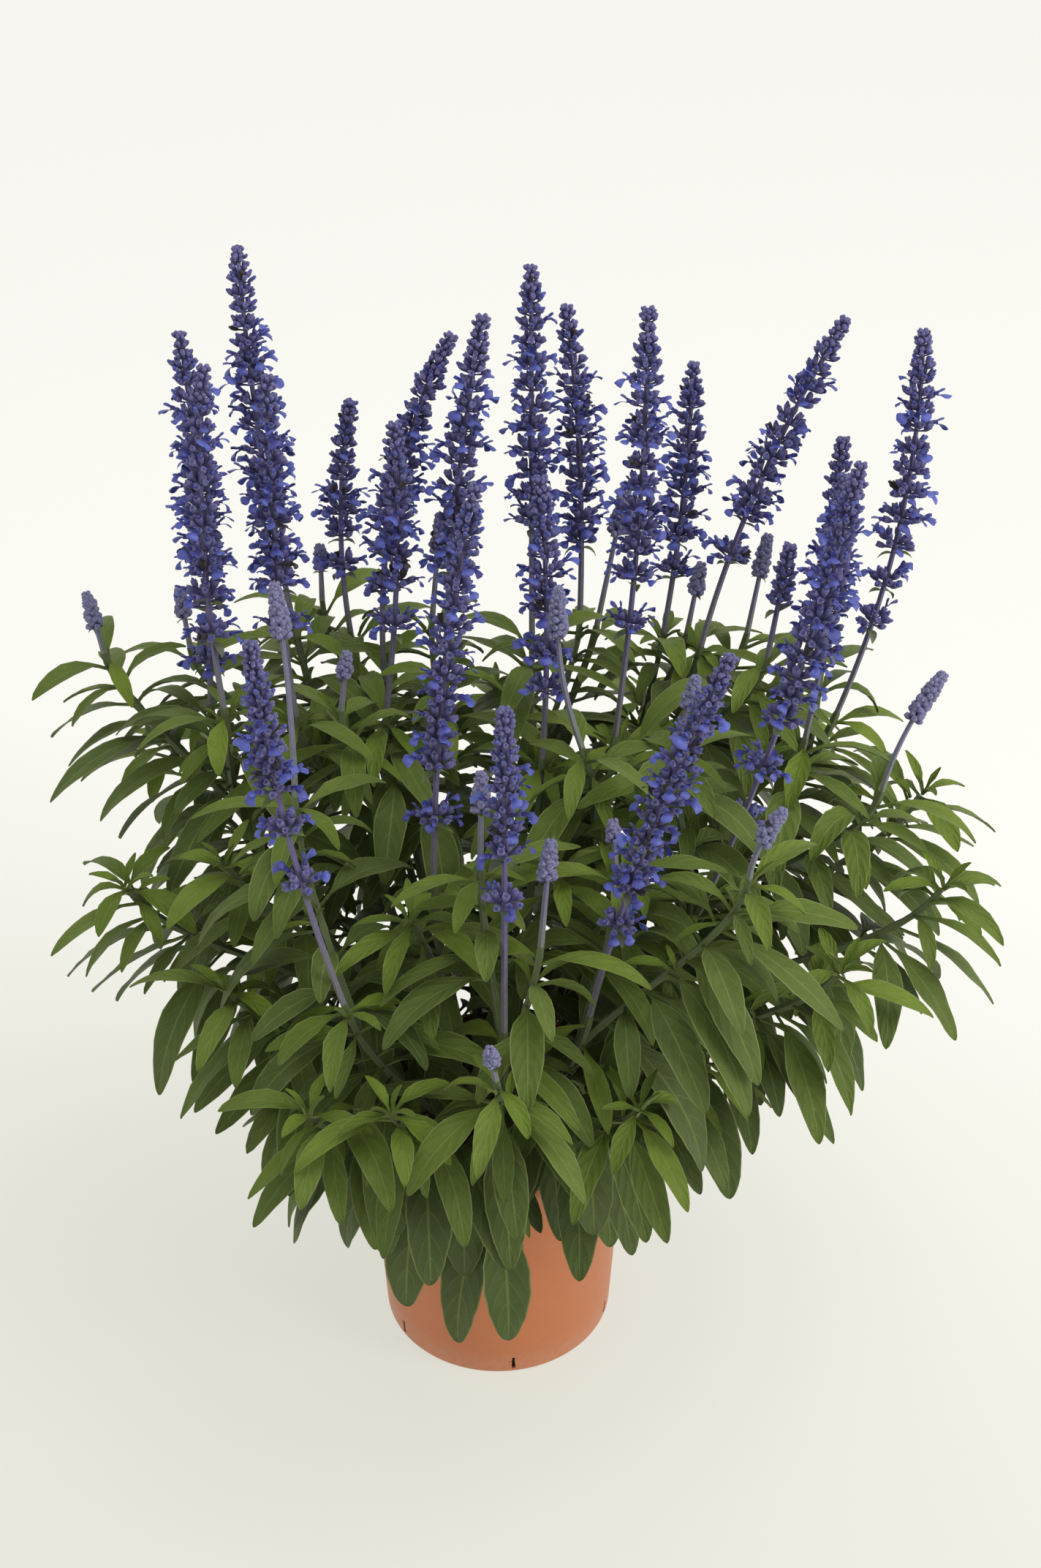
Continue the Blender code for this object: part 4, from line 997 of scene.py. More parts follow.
# Every stem: the spike that it ends in, the spikes on its forks, the tips of its leafy side shoots, and
# the tips of the low shoots that hang over the brim.
STEMS = {
    "stem_01": ("spike_01", ["spike_02", "bud_09"], [(-0.215, -0.015, 0.345), (-0.150, 0.050, 0.285)],
                [(-0.095, 0.020, 0.225)]),
    "stem_02": ("spike_03", ["spike_04", "bud_10"], [(-0.215, 0.160, 0.335), (-0.125, 0.115, 0.265)], []),
    "stem_03": ("spike_05", ["bud_11"], [(-0.105, 0.225, 0.325), (-0.050, 0.165, 0.260)],
                [(-0.070, 0.100, 0.220)]),
    "stem_04": ("spike_06", ["spike_07"], [], []),
    "stem_05": ("spike_08", ["bud_03", "bud_12"], [], []),
    "stem_06": ("spike_09", [], [(-0.150, -0.085, 0.325), (-0.155, -0.020, 0.365), (-0.045, -0.080, 0.370)],
                []),
    "stem_07": ("spike_10", ["spike_11", "bud_02"], [(0.000, 0.225, 0.335), (0.045, 0.165, 0.260)], []),
    "stem_08": ("spike_12", [], [(0.035, -0.055, 0.385)], []),
    "stem_09": ("spike_13", ["bud_01"], [(0.080, -0.060, 0.380)], []),
    "stem_10": ("spike_14", ["bud_17"], [(0.100, 0.230, 0.325), (0.125, 0.140, 0.265)],
                [(0.045, 0.110, 0.215)]),
    "stem_11": ("spike_15", ["spike_16", "bud_04"], [(0.195, 0.190, 0.335)], []),
    "stem_12": ("spike_20", ["spike_17"], [(0.265, 0.085, 0.345), (0.165, 0.040, 0.285)],
                [(0.096, 0.045, 0.232)]),
    "stem_13": ("spike_18", ["bud_05"], [(0.262, -0.015, 0.345)], []),
    "stem_14": ("spike_19", ["bud_07"], [(0.195, -0.075, 0.330), (0.120, -0.090, 0.275)],
                [(0.086, -0.030, 0.268)]),
    "stem_15": ("spike_21", ["bud_06", "bud_15"], [(0.080, -0.145, 0.290)], [(0.050, -0.105, 0.272)]),
    "stem_16": ("spike_22", ["bud_08"], [(-0.100, -0.150, 0.290), (-0.115, -0.080, 0.255)],
                [(-0.080, -0.070, 0.225)]),
    "stem_17": ("spike_23", ["bud_13", "bud_14", "bud_16"], [(-0.055, -0.160, 0.300)],
                [(-0.045, -0.108, 0.238), (-0.002, -0.124, 0.202)]),
}


def hermite(start, start_way, end, end_way, count):
    """Points of a smooth curve that leaves and arrives along the given ways."""
    points = []
    for step in range(count + 1):
        t = step / count
        points.append(start * (2 * t**3 - 3 * t**2 + 1) + start_way * (t**3 - 2 * t**2 + t)
                      + end * (3 * t**2 - 2 * t**3) + end_way * (t**3 - t**2))
    return points


class Shoot(Line):
    """A green stem or fork: its line, its square section along it, and its leaves by node."""

    def __init__(self, name, points, base_half, turn, hanging=False):
        super().__init__(points, turn)
        self.name, self.base_half, self.hanging = name, base_half, hanging
        self.leaves = []
        self.nodes = self.leaf_nodes()
        self.stops = [0.0]
        if base_half == STEM_BASE_HALF:
            self.stops.append(self.reach[1])
        for distance in self.nodes + [self.length]:
            start = self.stops[-1]
            gaps = math.ceil((distance - start) / LONGEST_CHORD)
            self.stops += [start + (distance - start) * k / gaps for k in range(1, gaps)] + [distance]

    def leaf_nodes(self):
        """The distances along the shoot at which it can have a pair of leaves, from its foot up."""
        below, places = PAIR_FIRST, []
        while below < self.length - 0.020 and self.at(self.length - below).z > SOIL_LEVEL + 0.016:
            places.append(self.length - below)
            if self.hanging:
                below -= PAIR_YOUNG / 2
            below += PAIR_YOUNG + (PAIR_OLD - PAIR_YOUNG) * (1 - math.exp(-below / PAIR_GROWTH))
        return places[::-1]

    def half_at(self, distance):
        return self.base_half + (STEM_TOP_HALF - self.base_half) * distance / self.length

    def face_normal(self, distance, face):
        """The way that one of the four flat sides looks."""
        _, side, other = self.frame_at(distance)
        return leaned(side, other, (face + 0.5) * math.pi / 2)

    def skin(self):
        """The square skin through the shoot's stops, as coarse as its solid."""
        rings = []
        for stop in self.stops:
            _, side, other = self.frame_at(stop)
            rings.append(ring(self.at(stop), side, other, [self.half_at(stop) * math.sqrt(2)] * 4))
        return sleeve(rings)


def fork_start(main, level, taken):
    """The lowest distance along a stem that reaches a level and is clear of its other forks."""
    highest = main.length - 0.030
    distance = next((d / 1000 for d in range(int(highest * 1000)) if main.at(d / 1000).z > level), highest)
    while any(abs(distance - other) < FORK_SPACING for other in taken):
        distance -= FORK_SPACING / 2
    taken.append(distance)
    return distance


def stem_shoots(stem):
    """The main stem of one stem of the table, and its forks."""
    spike, forks, side_tips, low_tips = STEMS[stem]
    line = spike_line(spike)
    foot, way = line[0], (line[1] - line[0]).normalized()
    root = Vector((foot.x * ROOT_SPREAD, foot.y * ROOT_SPREAD, SOIL_LEVEL - HOLE_DEPTH + GAP))
    collar = Vector((root.x, root.y, SOIL_LEVEL + 0.004))
    rise = (foot - collar).length
    outward = Vector((foot.x, foot.y, 0)) * 0.5
    above = hermite(collar, Vector((0, 0, rise)) + outward, foot, way * rise * 0.9, LINE_POINTS)
    draw = random.Random(stem)
    main = Shoot(stem, [root] + above, STEM_BASE_HALF, draw.uniform(0, math.pi))
    shoots, taken = [main], []

    def fork(end, end_way, drop, hanging=False):
        aside = Vector((end.x - foot.x, end.y - foot.y)).length
        level = max(end.z - drop - 0.5 * aside, SOIL_LEVEL + LOWEST_FORK)
        distance = fork_start(main, level, taken)
        start, start_way = main.at(distance), main.frame_at(distance)[0]
        span = (end - start).length
        leave = start_way * 0.6 + (end - start).normalized()
        line = hermite(start, leave.normalized() * span, end, end_way * span * 0.8, LINE_POINTS)
        shoots.append(Shoot(f"{stem}_fork_{len(shoots)}", line, BRANCH_BASE_HALF,
                            draw.uniform(0, math.pi), hanging))

    for name in forks:
        line = spike_line(name)
        fork(line[0], (line[1] - line[0]).normalized(), FORK_DROP)
    for tips, lean, upright, drop, hanging in ((side_tips, 0.5, 1.0, 1.3, False),
                                               (low_tips, 1.0, 0.1, 0.3, True)):
        for tip in tips:
            end = Vector(tip)
            out = Vector((end.x, end.y, 0)).normalized()
            fork(end, (out * lean + Vector((0, 0, upright))).normalized(), FORK_DROP * drop, hanging)
    return shoots


class Leaf:
    """One blade: where it leaves its stem, the ways it points and its size."""

    def __init__(self, root, heading, pitch, droop, length, width, roll, sweep):
        self.root, self.heading, self.sweep, self.roll = root, heading, sweep, roll
        self.pitch, self.droop = pitch, droop
        self.length, self.width = length, width

    def spine(self):
        """Points along the midrib, each with its way, side and upper normal."""
        place, frames = self.root.copy(), []
        for k in range(SPINE_STEPS + 1):
            t = k / SPINE_STEPS
            pitch = self.pitch + (self.droop - self.pitch) * t**0.85
            heading = self.heading + self.sweep * t
            flat = Vector((math.cos(heading), math.sin(heading), 0))
            way = flat * math.cos(pitch) + Vector((0, 0, math.sin(pitch)))
            if k:
                place = place + way * (self.length / SPINE_STEPS)
            side = Vector((math.sin(heading), -math.cos(heading), 0))
            tilted = leaned(side, side.cross(way), self.roll * min(1, t * 3))
            frames.append((place, way, tilted, tilted.cross(way)))
        return frames

    def half_width(self, t):
        """Half the blade's width at a share of its length."""
        if t <= PETIOLE_SHARE:
            return LEAF_FOOT_HALF
        u = (t - PETIOLE_SHARE) / (1 - PETIOLE_SHARE)
        return max(LEAF_FOOT_HALF * (1 - u), self.width / 2 * math.sin(math.pi * u**0.9)**0.8)

    def blade(self, first_station, extra=0.0):
        """Points and faces of the blade: rings of keel, left edge and right edge, and a tip."""
        frames, points = self.spine(), []
        for t in (first_station, *(LARGE_STATIONS if self.length > LARGE_LEAF else SMALL_STATIONS)):
            place, _, side, normal = frames[round(t * SPINE_STEPS)]
            half = self.half_width(t) + extra
            lift = LEAF_FOLD * half + extra
            points += [place - normal * (LEAF_KEEL + extra), place - side * half + normal * lift,
                       place + side * half + normal * lift]
        faces = quads(3, len(points))
        pointed(points, faces, 3, frames[-1][0] + frames[-1][1] * extra)
        return points, faces


class Crowd:
    """What already has its place, so that nothing new is put through it."""

    def __init__(self):
        self.owners, self.trees = [], []
        self.lows, self.highs = np.empty((4096, 3)), np.empty((4096, 3))

    def add(self, owner, points, faces):
        """Take in a shape under its owner's name."""
        places = np.array(points)
        count = len(self.trees)
        self.lows[count], self.highs[count] = places.min(0), places.max(0)
        self.owners.append(owner)
        self.trees.append(BVHTree.FromPolygons(points, faces))

    def meets(self, points, faces, skipped=()):
        """Whether a shape would cut one that isn't its owner's or its mates'."""
        places, count = np.array(points), len(self.trees)
        near = (self.lows[:count] <= places.max(0)).all(1) & (self.highs[:count] >= places.min(0)).all(1)
        others = [k for k in np.flatnonzero(near) if self.owners[k] not in skipped]
        tree = BVHTree.FromPolygons(points, faces) if others else None
        return any(tree.overlap(self.trees[k]) for k in others)


def hides_pot(leaf):
    """Whether a leaf would hang in front of the pot's right side, which the plant leaves bare."""
    tip = leaf.spine()[-1][0]
    return BARE_SIDE[0] < tip.x < BARE_SIDE[1] and tip.y < 0 and tip.z < BARE_SIDE_TOP


def place_leaf(crowd, owner, leaf, draw, tries=LEAF_TRIES, mates=()):
    """Turn, droop or shorten a leaf until it is clear of everything, or give it up."""
    for _ in range(tries):
        outer = leaf.blade(0.10, LEAF_CLEAR)
        whole = leaf.blade(0.0, LEAF_CLEAR / 2)
        hangs_well = min(p.z for p in outer[0]) > LEAF_FLOOR and not hides_pot(leaf)
        if hangs_well and not crowd.meets(*outer, mates) and not crowd.meets(*whole, (owner, *mates)):
            crowd.add(mates[0] if mates else owner, *leaf.blade(0.05))
            return True
        leaf.heading += draw.uniform(-0.40, 0.40)
        leaf.droop += draw.uniform(-0.25, 0.25)
        leaf.roll = draw.uniform(-0.35, 0.35)
        leaf.length *= 0.94
        leaf.width *= 0.97
    return False


def mound_reach(place):
    """How near a place is to the outside of the mound of foliage, which is at 1."""
    return math.hypot(math.hypot(place.x, place.y) / MOUND_RADIUS, (place.z - MOUND_CENTRE) / MOUND_RISE)


def leaving(shoot, distance, face, steep, fall, sway, draw):
    """How a leaf leaves one side of a shoot: its root, first way, age and heading, and the way outward."""
    normal, way = shoot.face_normal(distance, face), shoot.frame_at(distance)[0]
    root = shoot.at(distance) + normal * shoot.half_at(distance)
    age = 1 - math.exp(-(shoot.length - distance) / LEAF_GROWTH)
    start = leaned(normal, way, math.radians(steep - fall * age))
    heading = math.atan2(start.y, start.x) + draw.uniform(-sway, sway)
    return root, start, age, heading, math.atan2(root.y, root.x)


def leaf_on(shoot, distance, face, draw):
    """A new leaf on one side of a shoot, or none where the plant would shade it."""
    root, start, age, heading, outward = leaving(shoot, distance, face, 52, 38, 0.2, draw)
    facing = math.cos(heading - outward)
    heading -= 0.35 * math.sin(heading - outward)
    shaded = root.z < SHADED_BELOW and facing < 0.1 or root.z < INNER_SHADED_BELOW and facing < -0.6
    if shaded and not shoot.hanging:
        return None
    length = (LEAF_YOUNG + (LEAF_OLD - LEAF_YOUNG) * age) * draw.uniform(0.90, 1.12)
    if shoot.hanging:
        length = LEAF_OLD * draw.uniform(0.85, 1.08)
    elif root.z < LOW_LEAF:
        length *= LOW_LEAF_SHARE
    width = length * (0.23 + 0.05 * age) * draw.uniform(0.92, 1.08)
    pitch = math.asin(start.z) + draw.uniform(-0.1, 0.1)
    droop = -0.60 - 0.95 * age + 0.10 * (1 - facing) + draw.uniform(-0.15, 0.15)
    if shoot.hanging or root.z < LOW_LEAF:
        pitch, droop = min(pitch, draw.uniform(-0.2, 0.3)), draw.uniform(-1.57, -1.45)
        width *= 1.15
    leaf = Leaf(root, heading, pitch, droop, length, width,
                draw.uniform(-0.3, 0.3), draw.uniform(-0.25, 0.25))
    return leaf if mound_reach(leaf.spine()[-1][0]) > MOUND_SHADE else None


def grow_leaves(crowd, shoot):
    """Put a pair of leaves at each node, each pair a quarter turn from the next."""
    draw = random.Random(shoot.name)
    for number, distance in enumerate(reversed(shoot.nodes)):
        for face in (number % 2, number % 2 + 2):
            leaf = leaf_on(shoot, distance, face, draw)
            if leaf and place_leaf(crowd, shoot.name, leaf, draw):
                shoot.leaves.append((distance, face, leaf))


def node_shape(name):
    """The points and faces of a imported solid."""
    mesh = frame["nodes"][name].data
    return [v.co.copy() for v in mesh.vertices], [list(p.vertices) for p in mesh.polygons]


crowd = Crowd()
crowd.add("soil", [Vector((x * POT_FOOT_RADIUS, y * POT_FOOT_RADIUS, SOIL_LEVEL + 0.001))
                   for x, y in ((-1, -1), (1, -1), (1, 1), (-1, 1))], [[0, 1, 2, 3]])
crowd.add("pot", *node_shape("pot"))
for spike in SPIKES:
    crowd.add(spike, *node_shape(spike))
plan = {stem: stem_shoots(stem) for stem in STEMS}
every_shoot = [shoot for shoots in plan.values() for shoot in shoots]
for shoot in every_shoot:
    crowd.add(shoot.name, *shoot.skin())
for shoot in every_shoot:
    grow_leaves(crowd, shoot)

# Second growth
# Between the big pairs a salvia fills up with smaller leaves: short side pairs, a pale green tuft in each
# leaf's axil and a rosette at the tip of each leafy shoot. They are too fine for the solids.
FILL_SHADE = 0.34
FILL_SHARE = (0.52, 1.02)
FILL_TRIES = 6
FILL_GAP = 0.034
FILL_HANGS_BELOW = 0.23
TUFT_SHADE = 0.60
TUFTLESS_SHARE = 0.38
TUFT_LENGTH = (0.016, 0.036)
TIP_LENGTH = (0.018, 0.044)
TUFT_TRIES = 3


def fill_pairs(shoot, draw):
    """Smaller pairs halfway between a shoot's big ones."""
    stops = [0.0] + shoot.nodes
    found = []
    for low, high in zip(stops, stops[1:]):
        gap = high - low
        steps = 1 if gap < FILL_GAP else 2
        for k in range(1, steps + 1):
            distance = low + gap * k / (steps + 1)
            if shoot.at(distance).z < SOIL_LEVEL + 0.012:
                continue
            for face in range(4):
                leaf = small_leaf(shoot, distance, face, draw)
                if leaf and place_leaf(crowd, shoot.name, leaf, draw, FILL_TRIES):
                    found.append((distance, face, leaf))
    return found


def small_leaf(shoot, distance, face, draw):
    """A smaller leaf on one side of a shoot, or none deep in the plant's shade."""
    root, start, age, heading, outward = leaving(shoot, distance, face, 45, 25, 0.3, draw)
    facing = math.cos(heading - outward)
    length = (LEAF_YOUNG + (LEAF_OLD - LEAF_YOUNG) * age) * draw.uniform(*FILL_SHARE)
    width = length * (0.22 + 0.06 * age) * draw.uniform(0.9, 1.1)
    pitch = math.asin(max(-1, min(1, start.z))) + draw.uniform(-0.2, 0.2)
    droop = -0.50 - 0.85 * age + draw.uniform(-0.4, 0.4)
    if shoot.hanging or root.z < FILL_HANGS_BELOW:
        pitch, droop = min(pitch, draw.uniform(-0.2, 0.4)), draw.uniform(-1.5, -1.1)
    leaf = Leaf(root, heading, pitch, droop, length, width, draw.uniform(-0.3, 0.3), draw.uniform(-0.3, 0.3))
    if facing < -0.9 and root.z < 0.24:
        return None
    return leaf if mound_reach(leaf.spine()[-1][0]) > FILL_SHADE else None


def tuft(name, shoot, place, way, count, lengths, draw):
    """A little rosette: opposite pairs on a very short axis, each pair smaller and steeper."""
    found = []
    turn = draw.uniform(0, math.pi)
    high = way * 0.5 + Vector((0, 0, 0.7))
    lean = Vector((high.x, high.y, 0)).length / max(0.2, high.z)
    lean_way = math.atan2(high.y, high.x)
    for k in range(count):
        pair = k // 2
        share = pair / max(1, (count - 1) // 2)
        heading = turn + math.pi * (k % 2) + math.pi / 2 * pair + draw.uniform(-0.25, 0.25)
        tilt = lean * math.cos(heading - lean_way) * 0.5
        pitch = math.radians(18 + 52 * share) - tilt + draw.uniform(-0.15, 0.15)
        droop = pitch - math.radians(75 - 45 * share) + draw.uniform(-0.2, 0.2)
        length = (lengths[1] + (lengths[0] - lengths[1]) * share) * draw.uniform(0.85, 1.15)
        flat = Vector((math.cos(heading), math.sin(heading), 0))
        root = place + way * 0.0018 * pair + flat * 0.0010
        leaf = Leaf(root, heading, pitch, droop, length, length * draw.uniform(0.26, 0.34),
                    draw.uniform(-0.25, 0.25), draw.uniform(-0.3, 0.3))
        if place_leaf(crowd, shoot.name, leaf, draw, TUFT_TRIES, (name,)):
            found.append(leaf)
    return found


def second_growth(shoot):
    """The small leaves of one shoot: fill-in pairs, axil tufts and a tip rosette."""
    draw = random.Random(f"second growth of {shoot.name}")
    count, back = (8, 0.0) if shoot.leafy_tip else (4, 0.006)
    tufts = tuft(f"{shoot.name}_tip", shoot, shoot.at(shoot.length - back), shoot.frames[-1][0], count,
                 TIP_LENGTH, draw)
    for number, (distance, face, _) in enumerate(shoot.leaves):
        if mound_reach(shoot.at(distance)) < TUFT_SHADE or draw.random() < TUFTLESS_SHARE:
            continue
        way, normal = shoot.frame_at(distance)[0], shoot.face_normal(distance, face)
        place = shoot.at(distance) + normal * shoot.half_at(distance) * 1.1 + way * 0.003
        tufts += tuft(f"{shoot.name}_axil_{number}", shoot, place, (way + normal * 0.7).normalized(),
                      draw.choice((4, 4, 6)), TUFT_LENGTH, draw)
    return fill_pairs(shoot, draw), tufts


# How each shoot ends: the ones under a spike keep a collar of small leaves, the others end in a rosette.
for stem, shoots in plan.items():
    for number, shoot in enumerate(shoots):
        shoot.leafy_tip = number > len(STEMS[stem][1])
growth_of = {shoot.name: second_growth(shoot) for shoot in every_shoot}

# Leaves and stems as they look
# A blade is a thin sheet with a raised midrib underneath, folded and a little wavy, on a short petiole.
BLADE_THICKNESS = 0.00045
PETIOLE_HALF = 0.0009
PETIOLE_THICKNESS = 0.0014
MIDRIB_RISE = 0.0007
MARGIN_WAVE = 0.08
MEDIUM_LEAF = 0.062
SMALL_LEAF = 0.026
LARGE_ROWS = [0, 0.06, 0.12, 0.16] + [k / 16 for k in range(4, 15)] + [0.92, 0.96, 0.985, 1]
MEDIUM_ROWS = [0, 0.12, 0.17, 0.24, 0.33, 0.43, 0.54, 0.65, 0.76, 0.86, 0.93, 0.98, 1]
SMALL_ROWS = [0, 0.12, 0.22, 0.36, 0.52, 0.68, 0.82, 0.94, 1]
TINY_ROWS = [0, 0.14, 0.32, 0.55, 0.78, 0.93, 1]
STEM_RING_STEP = 0.0065
OLD_LEAVES_BELOW = 0.25
LEAF_SKIN, STEM_SKIN = 0, 1


def blade_detail(leaf):
    """The rows along a blade's spine and the cells across it, as many as its size shows."""
    if leaf.length > LARGE_LEAF:
        return LARGE_ROWS, 8
    if leaf.length > MEDIUM_LEAF:
        return MEDIUM_ROWS, 6
    return SMALL_ROWS if leaf.length > SMALL_LEAF else TINY_ROWS, 4


def spine_at(frames, share):
    """The place, way, side and upper normal at a share of a spine, between its points."""
    steps = len(frames) - 1
    low = min(steps - 1, int(share * steps))
    part = share * steps - low
    return [a.lerp(b, part) for a, b in zip(frames[low], frames[low + 1])]


def add_blade(growth, leaf, nature, draw):
    """One leaf blade with its petiole, grown out of its stem."""
    rows, cells = blade_detail(leaf)
    frames = leaf.spine()
    young = max(0.0, 1 - leaf.length / LARGE_LEAF)
    fold = 0.16 + 0.26 * young + draw.uniform(-0.04, 0.08)
    curl = draw.uniform(0.04, 0.16)
    waves = draw.uniform(1.2, 2.6)
    phases = draw.uniform(0, math.tau), draw.uniform(0, math.tau)
    wave = MARGIN_WAVE * draw.uniform(0.3, 1.4)
    widest = 0.88 + 0.14 * nature[2] + draw.uniform(-0.05, 0.05)
    slender = 1.18 - 0.20 * nature[2] + draw.uniform(-0.06, 0.06)
    blunt = 0.60 - 0.08 * nature[2]
    full = leaf.width / 2 * (1 - (1 - nature[2]) * draw.uniform(0.0, 0.16))
    teeth = 0.018 + 0.016 * nature[2]
    pairs = 3.5 + leaf.length / 0.026

    def half_at(share):
        if share >= 1:
            return 0.0004
        u = max(0.0, (share - PETIOLE_SHARE) / (1 - PETIOLE_SHARE))
        taper = slender + (blunt - slender) * u
        return max(PETIOLE_HALF, full * math.sin(math.pi * u**widest)**taper)

    def place(share, across):
        point, way, side, normal = spine_at(frames, share)
        half = half_at(share)
        edge = abs(across)
        ripple = wave * math.sin(math.tau * waves * share + phases[across > 0]) * edge * edge
        notch = 1 + teeth * math.sin(math.tau * 6.1 * share + phases[across > 0])
        lift = half * (fold * edge - curl * edge**3 + ripple) - LEAF_KEEL * 0.5 * (1 - edge)
        back = way * 0.0012 if share == 0 else Vector()
        return point + side * half * notch * across + normal * lift - back, normal

    def thickness(share, across):
        if share <= PETIOLE_SHARE:
            return PETIOLE_THICKNESS * (1 - across * across)
        rib = MIDRIB_RISE * (1 - share) * max(0.0, 1 - abs(across) * 4)
        return BLADE_THICKNESS * (1 - 0.4 * abs(across)) + rib

    points, faces, spots = sheet(rows, cells, place, thickness, lambda share: share * pairs)
    growth.add(points, faces, LEAF_SKIN, spots, nature)


def add_stem(growth, shoot, draw):
    """A shoot's square stem with rounded corners, grooved sides and a swelling at each node."""
    steps = math.ceil(shoot.length / STEM_RING_STEP)
    rings, spots = [], []
    for k in range(steps + 1):
        distance = shoot.length * k / steps
        _, side, other = shoot.frame_at(distance)
        swell = 1 + sum(0.30 * math.exp(-((distance - node) / 0.003)**2) for node in shoot.nodes)
        half = shoot.half_at(distance) * swell
        radii = [half * (1.28 if m % 3 == 0 else 0.97) for m in range(12)]
        rings.append(ring(shoot.at(distance), side, other, radii))
        spots += [(distance / shoot.length, 0.0, float(m % 3 == 0)) for m in range(12)]
    points, faces = sleeve(rings)
    height = min(1.0, max(0.0, (shoot.at(shoot.length).z - 0.2) / 0.25))
    growth.add(points, faces, STEM_SKIN, spots, (height, draw.random(), 0.0))


def make_leafy_stem(stem, shoots, materials):
    """One stem from the compost with its forks and all its leaves, as one piece."""
    growth = Growth()
    draw = random.Random(f"leaves of {stem}")
    for shoot in shoots:
        add_stem(growth, shoot, draw)
        fill, tufts = growth_of[shoot.name]
        for distance, _, leaf in shoot.leaves + fill:
            below = shoot.length - distance
            age = 1 - math.exp(-below / 0.050)
            old = draw.random() * 0.5
            if shoot.hanging or leaf.root.z < OLD_LEAVES_BELOW:
                old = draw.uniform(0.5, 1.0)
            if shoot.hanging:
                age = 1.0
            add_blade(growth, leaf, (age, draw.random(), old), draw)
        for leaf in tufts:
            young = draw.uniform(0.0, 0.45)
            add_blade(growth, leaf, (young, draw.random(), 0.0), draw)
    return growth.piece(f"{stem}_in_leaf", materials)


def vein_group():
    """A leaf's veins from where a point lies on its blade: a midrib, slanting side veins and a fine net."""
    blade = Group("leaf veins", {"Slant": 1.7})
    along, across, upper = blade.mark("spot")
    edge = blade.maths("ABSOLUTE", across)
    slant = blade.maths("MULTIPLY", blade.maths("POWER", edge, 1.35), blade.given["Slant"])
    turn = blade.maths("PINGPONG", blade.maths("SUBTRACT", along, slant), 0.5)
    side_vein = blade.ramp(turn, (0.6, 0), (0, 0.075), "SMOOTHSTEP")
    faded = blade.maths("MULTIPLY", side_vein, blade.ramp(edge, (1.0, 0.25), (0.55, 1.0)))
    midrib = blade.ramp(edge, (1, 0), (0.02, 0.09), "SMOOTHSTEP")
    pillow = blade.ramp(turn, (0, 1), (0, 0.5), "SMOOTHSTEP")
    # The margin mask lays a painted highlight along the blade's edge.
    margin_highlight = blade.ramp(edge, (0, 1), (0.90, 0.98), "SMOOTHSTEP")
    return blade.giving(Vein=blade.maths("MAXIMUM", midrib, faded), Pillow=pillow, Upper=upper,
                        Margin=margin_highlight)


def veined_leaf():
    """Firm grey-green leaf, yellow-green while young, with paler veins and underside, and a margin painted
    paler as a painted highlight.
    """
    leaf = Finish("veined salvia leaf", 0.24, sheen=(0.06, 0.5, (0.85, 0.9, 0.6)))
    age, chance, old = leaf.mark("nature")
    veins = leaf.group(vein_group())
    patches = mottling(leaf, 90.0, 0.45, 1.2)
    fresh = leaf.mix((0.125, 0.196, 0.012), (0.172, 0.248, 0.021), chance)
    grown = leaf.mix((0.036, 0.061, 0.008), (0.068, 0.104, 0.015), chance)
    colour = leaf.mix(fresh, grown, age)
    # The last tint paints the margin paler as a painted highlight.
    for tint, mask in (((0.094, 0.124, 0.040), leaf.maths("MULTIPLY", old, 0.75)),
                       ((0.026, 0.042, 0.010), leaf.ramp(patches, (0, 0.35))),
                       ((0.170, 0.225, 0.060), leaf.maths("MULTIPLY", veins["Vein"], 0.55)),
                       ((0.205, 0.235, 0.085), leaf.maths("MULTIPLY", veins["Margin"], 0.75))):
        colour = leaf.mix(colour, tint, mask)
    under = leaf.mix(colour, (0.145, 0.180, 0.080), 0.55)
    colour = leaf.mix(under, colour, veins["Upper"])
    net = leaf.node("TexVoronoi", {"feature": "DISTANCE_TO_EDGE"}, {"Vector": leaf.place(), "Scale": 620.0})
    mesh_net = leaf.ramp(net.outputs["Distance"], (0, 0.35), (0, 0.22))
    relief = leaf.maths("SUBTRACT", leaf.maths("ADD", mesh_net, veins["Pillow"]), veins["Vein"])
    return leaf.covered(colour, relief, 0.6, 0.0004, leaf.ramp(patches, (0.50, 0.66)))


def ridged_stem():
    """Square stem skin, brown and woody at the foot and grey-green with paler ridges higher up."""
    skin = Finish("ridged green stem", 0.3, 0.6, (0.12, 0.5, (0.8, 0.85, 0.75)))
    woody = skin.ramp(skin.parts(skin.place())[2], (1, 0), (0.16, 0.27))
    patches = mottling(skin, 180.0, 0.5, 1.3)
    colour = skin.mix((0.085, 0.120, 0.040), (0.095, 0.070, 0.038), woody)
    colour = skin.mix(colour, (0.150, 0.165, 0.095), skin.maths("MULTIPLY", skin.mark("spot")[2], 0.35))
    colour = skin.mix(colour, (0.045, 0.050, 0.022), skin.ramp(patches, (0, 0.4)))
    return skin.covered(colour, patches, 0.5, 0.0004)


leaf_skin, stem_skin = veined_leaf(), ridged_stem()
for stem, shoots in plan.items():
    finished(make_leafy_stem(stem, shoots, [leaf_skin, stem_skin]), stem)
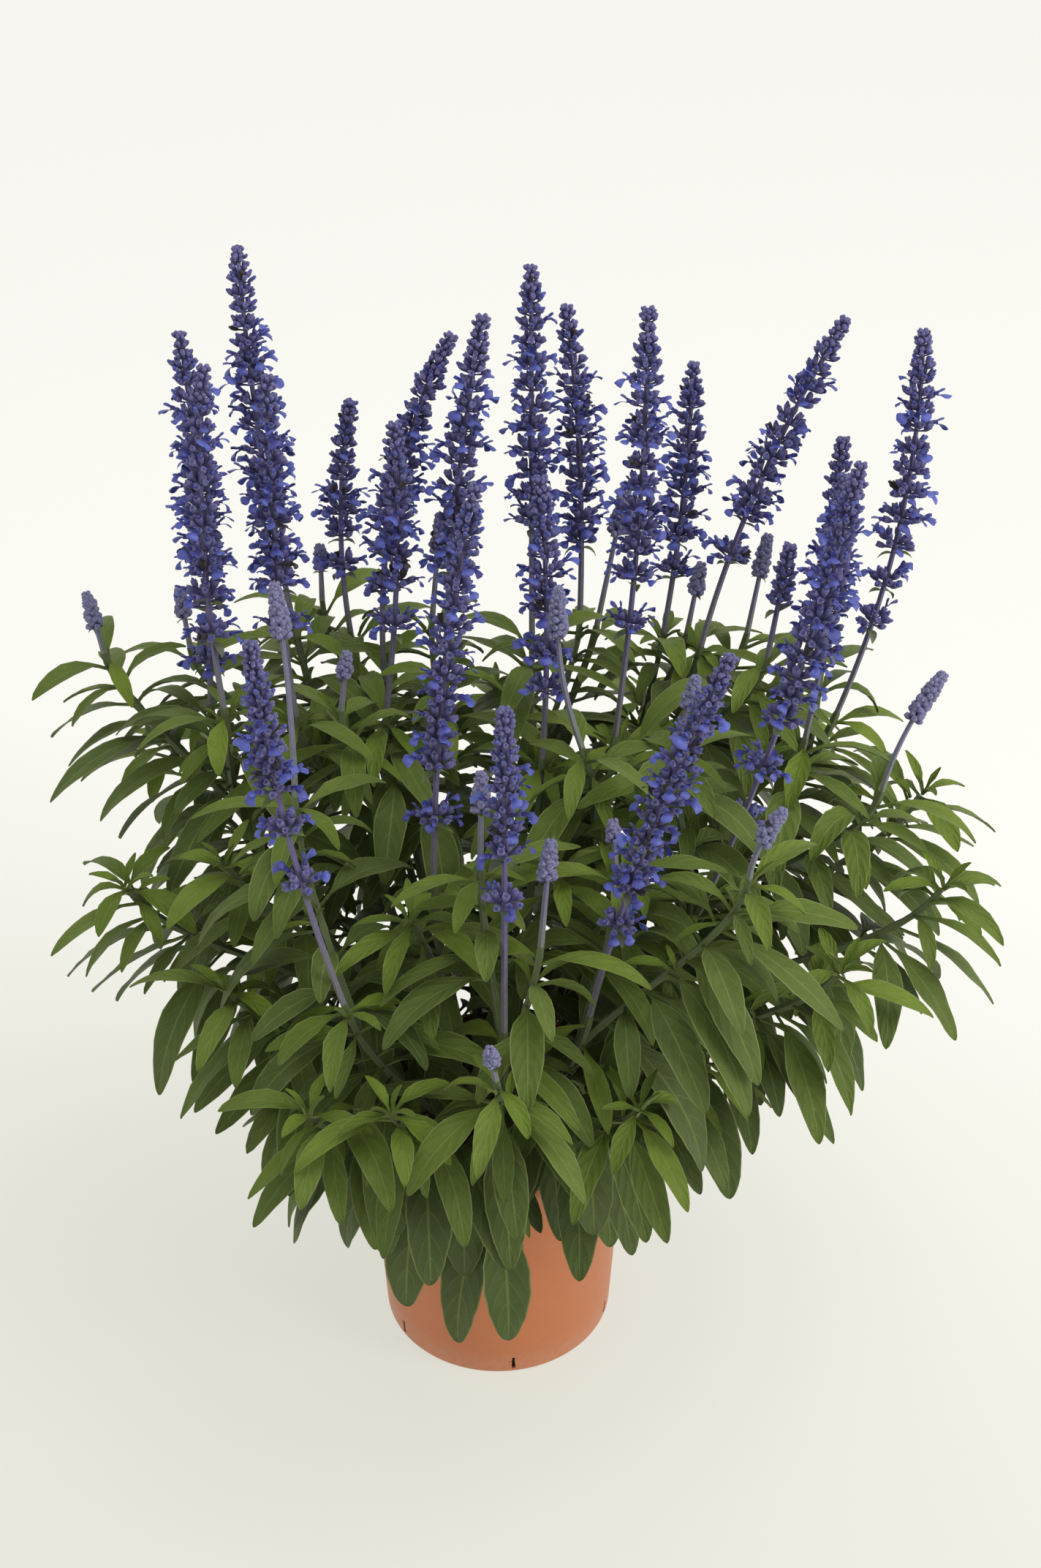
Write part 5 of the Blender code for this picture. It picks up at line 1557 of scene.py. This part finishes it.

# Studio
# The pot stands on a pale seamless sheet whose faint glow is painted light, dimmer towards the camera and the
# left as painted shade, under an even sky with a soft lamp above and one at the right. The camera looks
# down on the plant as the photograph does.
FLOOR_RADIUS = 14.0
CAMERA_PLACE = (0.015, -1.056, 1.109)
CAMERA_DOWN = 33.5
FOCAL_LENGTH = 3000 / 2144 * 36


def soft_light(name, place, target, size, power, colour):
    """A large square light that looks at the plant."""
    light = bpy.data.lights.new(name, "AREA")
    light.size, light.energy, light.color = size, power, colour
    made = placed(name, light)
    made.location = place
    made.rotation_euler = (Vector(target) - Vector(place)).to_track_quat("-Z", "Y").to_euler()


def painted_light_sheet():
    """A pale matt sheet whose glow is painted light, a little dimmer towards the camera and the left as
    painted shade.
    """
    paper = Finish("pale glowing sheet", 0.1, 0.9)
    slant = paper.node("VectorMath", {"operation": "DOT_PRODUCT"}, {0: paper.place(), 1: (0.35, 1.0, 0.0)})
    depth = paper.ramp(slant.outputs["Value"], (0, 1), (-0.25, 0.60))
    paper.feed(paper.shader["Base Color"], (0.28, 0.277, 0.256))
    # The sheet's glow is painted light, and its dimming towards the camera and the left is painted shade.
    paper.feed(paper.shader["Emission Color"], paper.mix((0.528, 0.533, 0.470), (0.680, 0.680, 0.648), depth))
    paper.feed(paper.shader["Emission Strength"], 1.0)
    return paper.material


corners = [(x * FLOOR_RADIUS, y * FLOOR_RADIUS, 0.0) for x, y in ((-1, -1), (1, -1), (1, 1), (-1, 1))]
floor = meshed("studio_floor", corners, [(0, 1, 2, 3)])
floor.data.materials.append(painted_light_sheet())

world = bpy.data.worlds.new("studio")
world.use_nodes = True
sky = world.node_tree.nodes["Background"].inputs
sky["Color"].default_value = (1.0, 0.995, 0.97, 1)
sky["Strength"].default_value = 0.80
bpy.context.scene.world = world
bpy.context.scene.view_settings.view_transform = "Standard"
soft_light("overhead", (0.7, -0.2, 2.6), (0, 0.1, 0.3), 1.4, 16.0, (1.0, 0.98, 0.95))
soft_light("right side", (2.2, -0.9, 1.3), (0, 0, 0.35), 1.2, 26.0, (1.0, 0.97, 0.93))

camera = placed("camera", bpy.data.cameras.new("camera"))
camera.location = CAMERA_PLACE
camera.rotation_euler = (math.radians(90 - CAMERA_DOWN), 0, 0)
camera.data.lens = FOCAL_LENGTH
camera.data.sensor_width = 36
bpy.context.scene.camera = camera

bpy.context.view_layer.update()
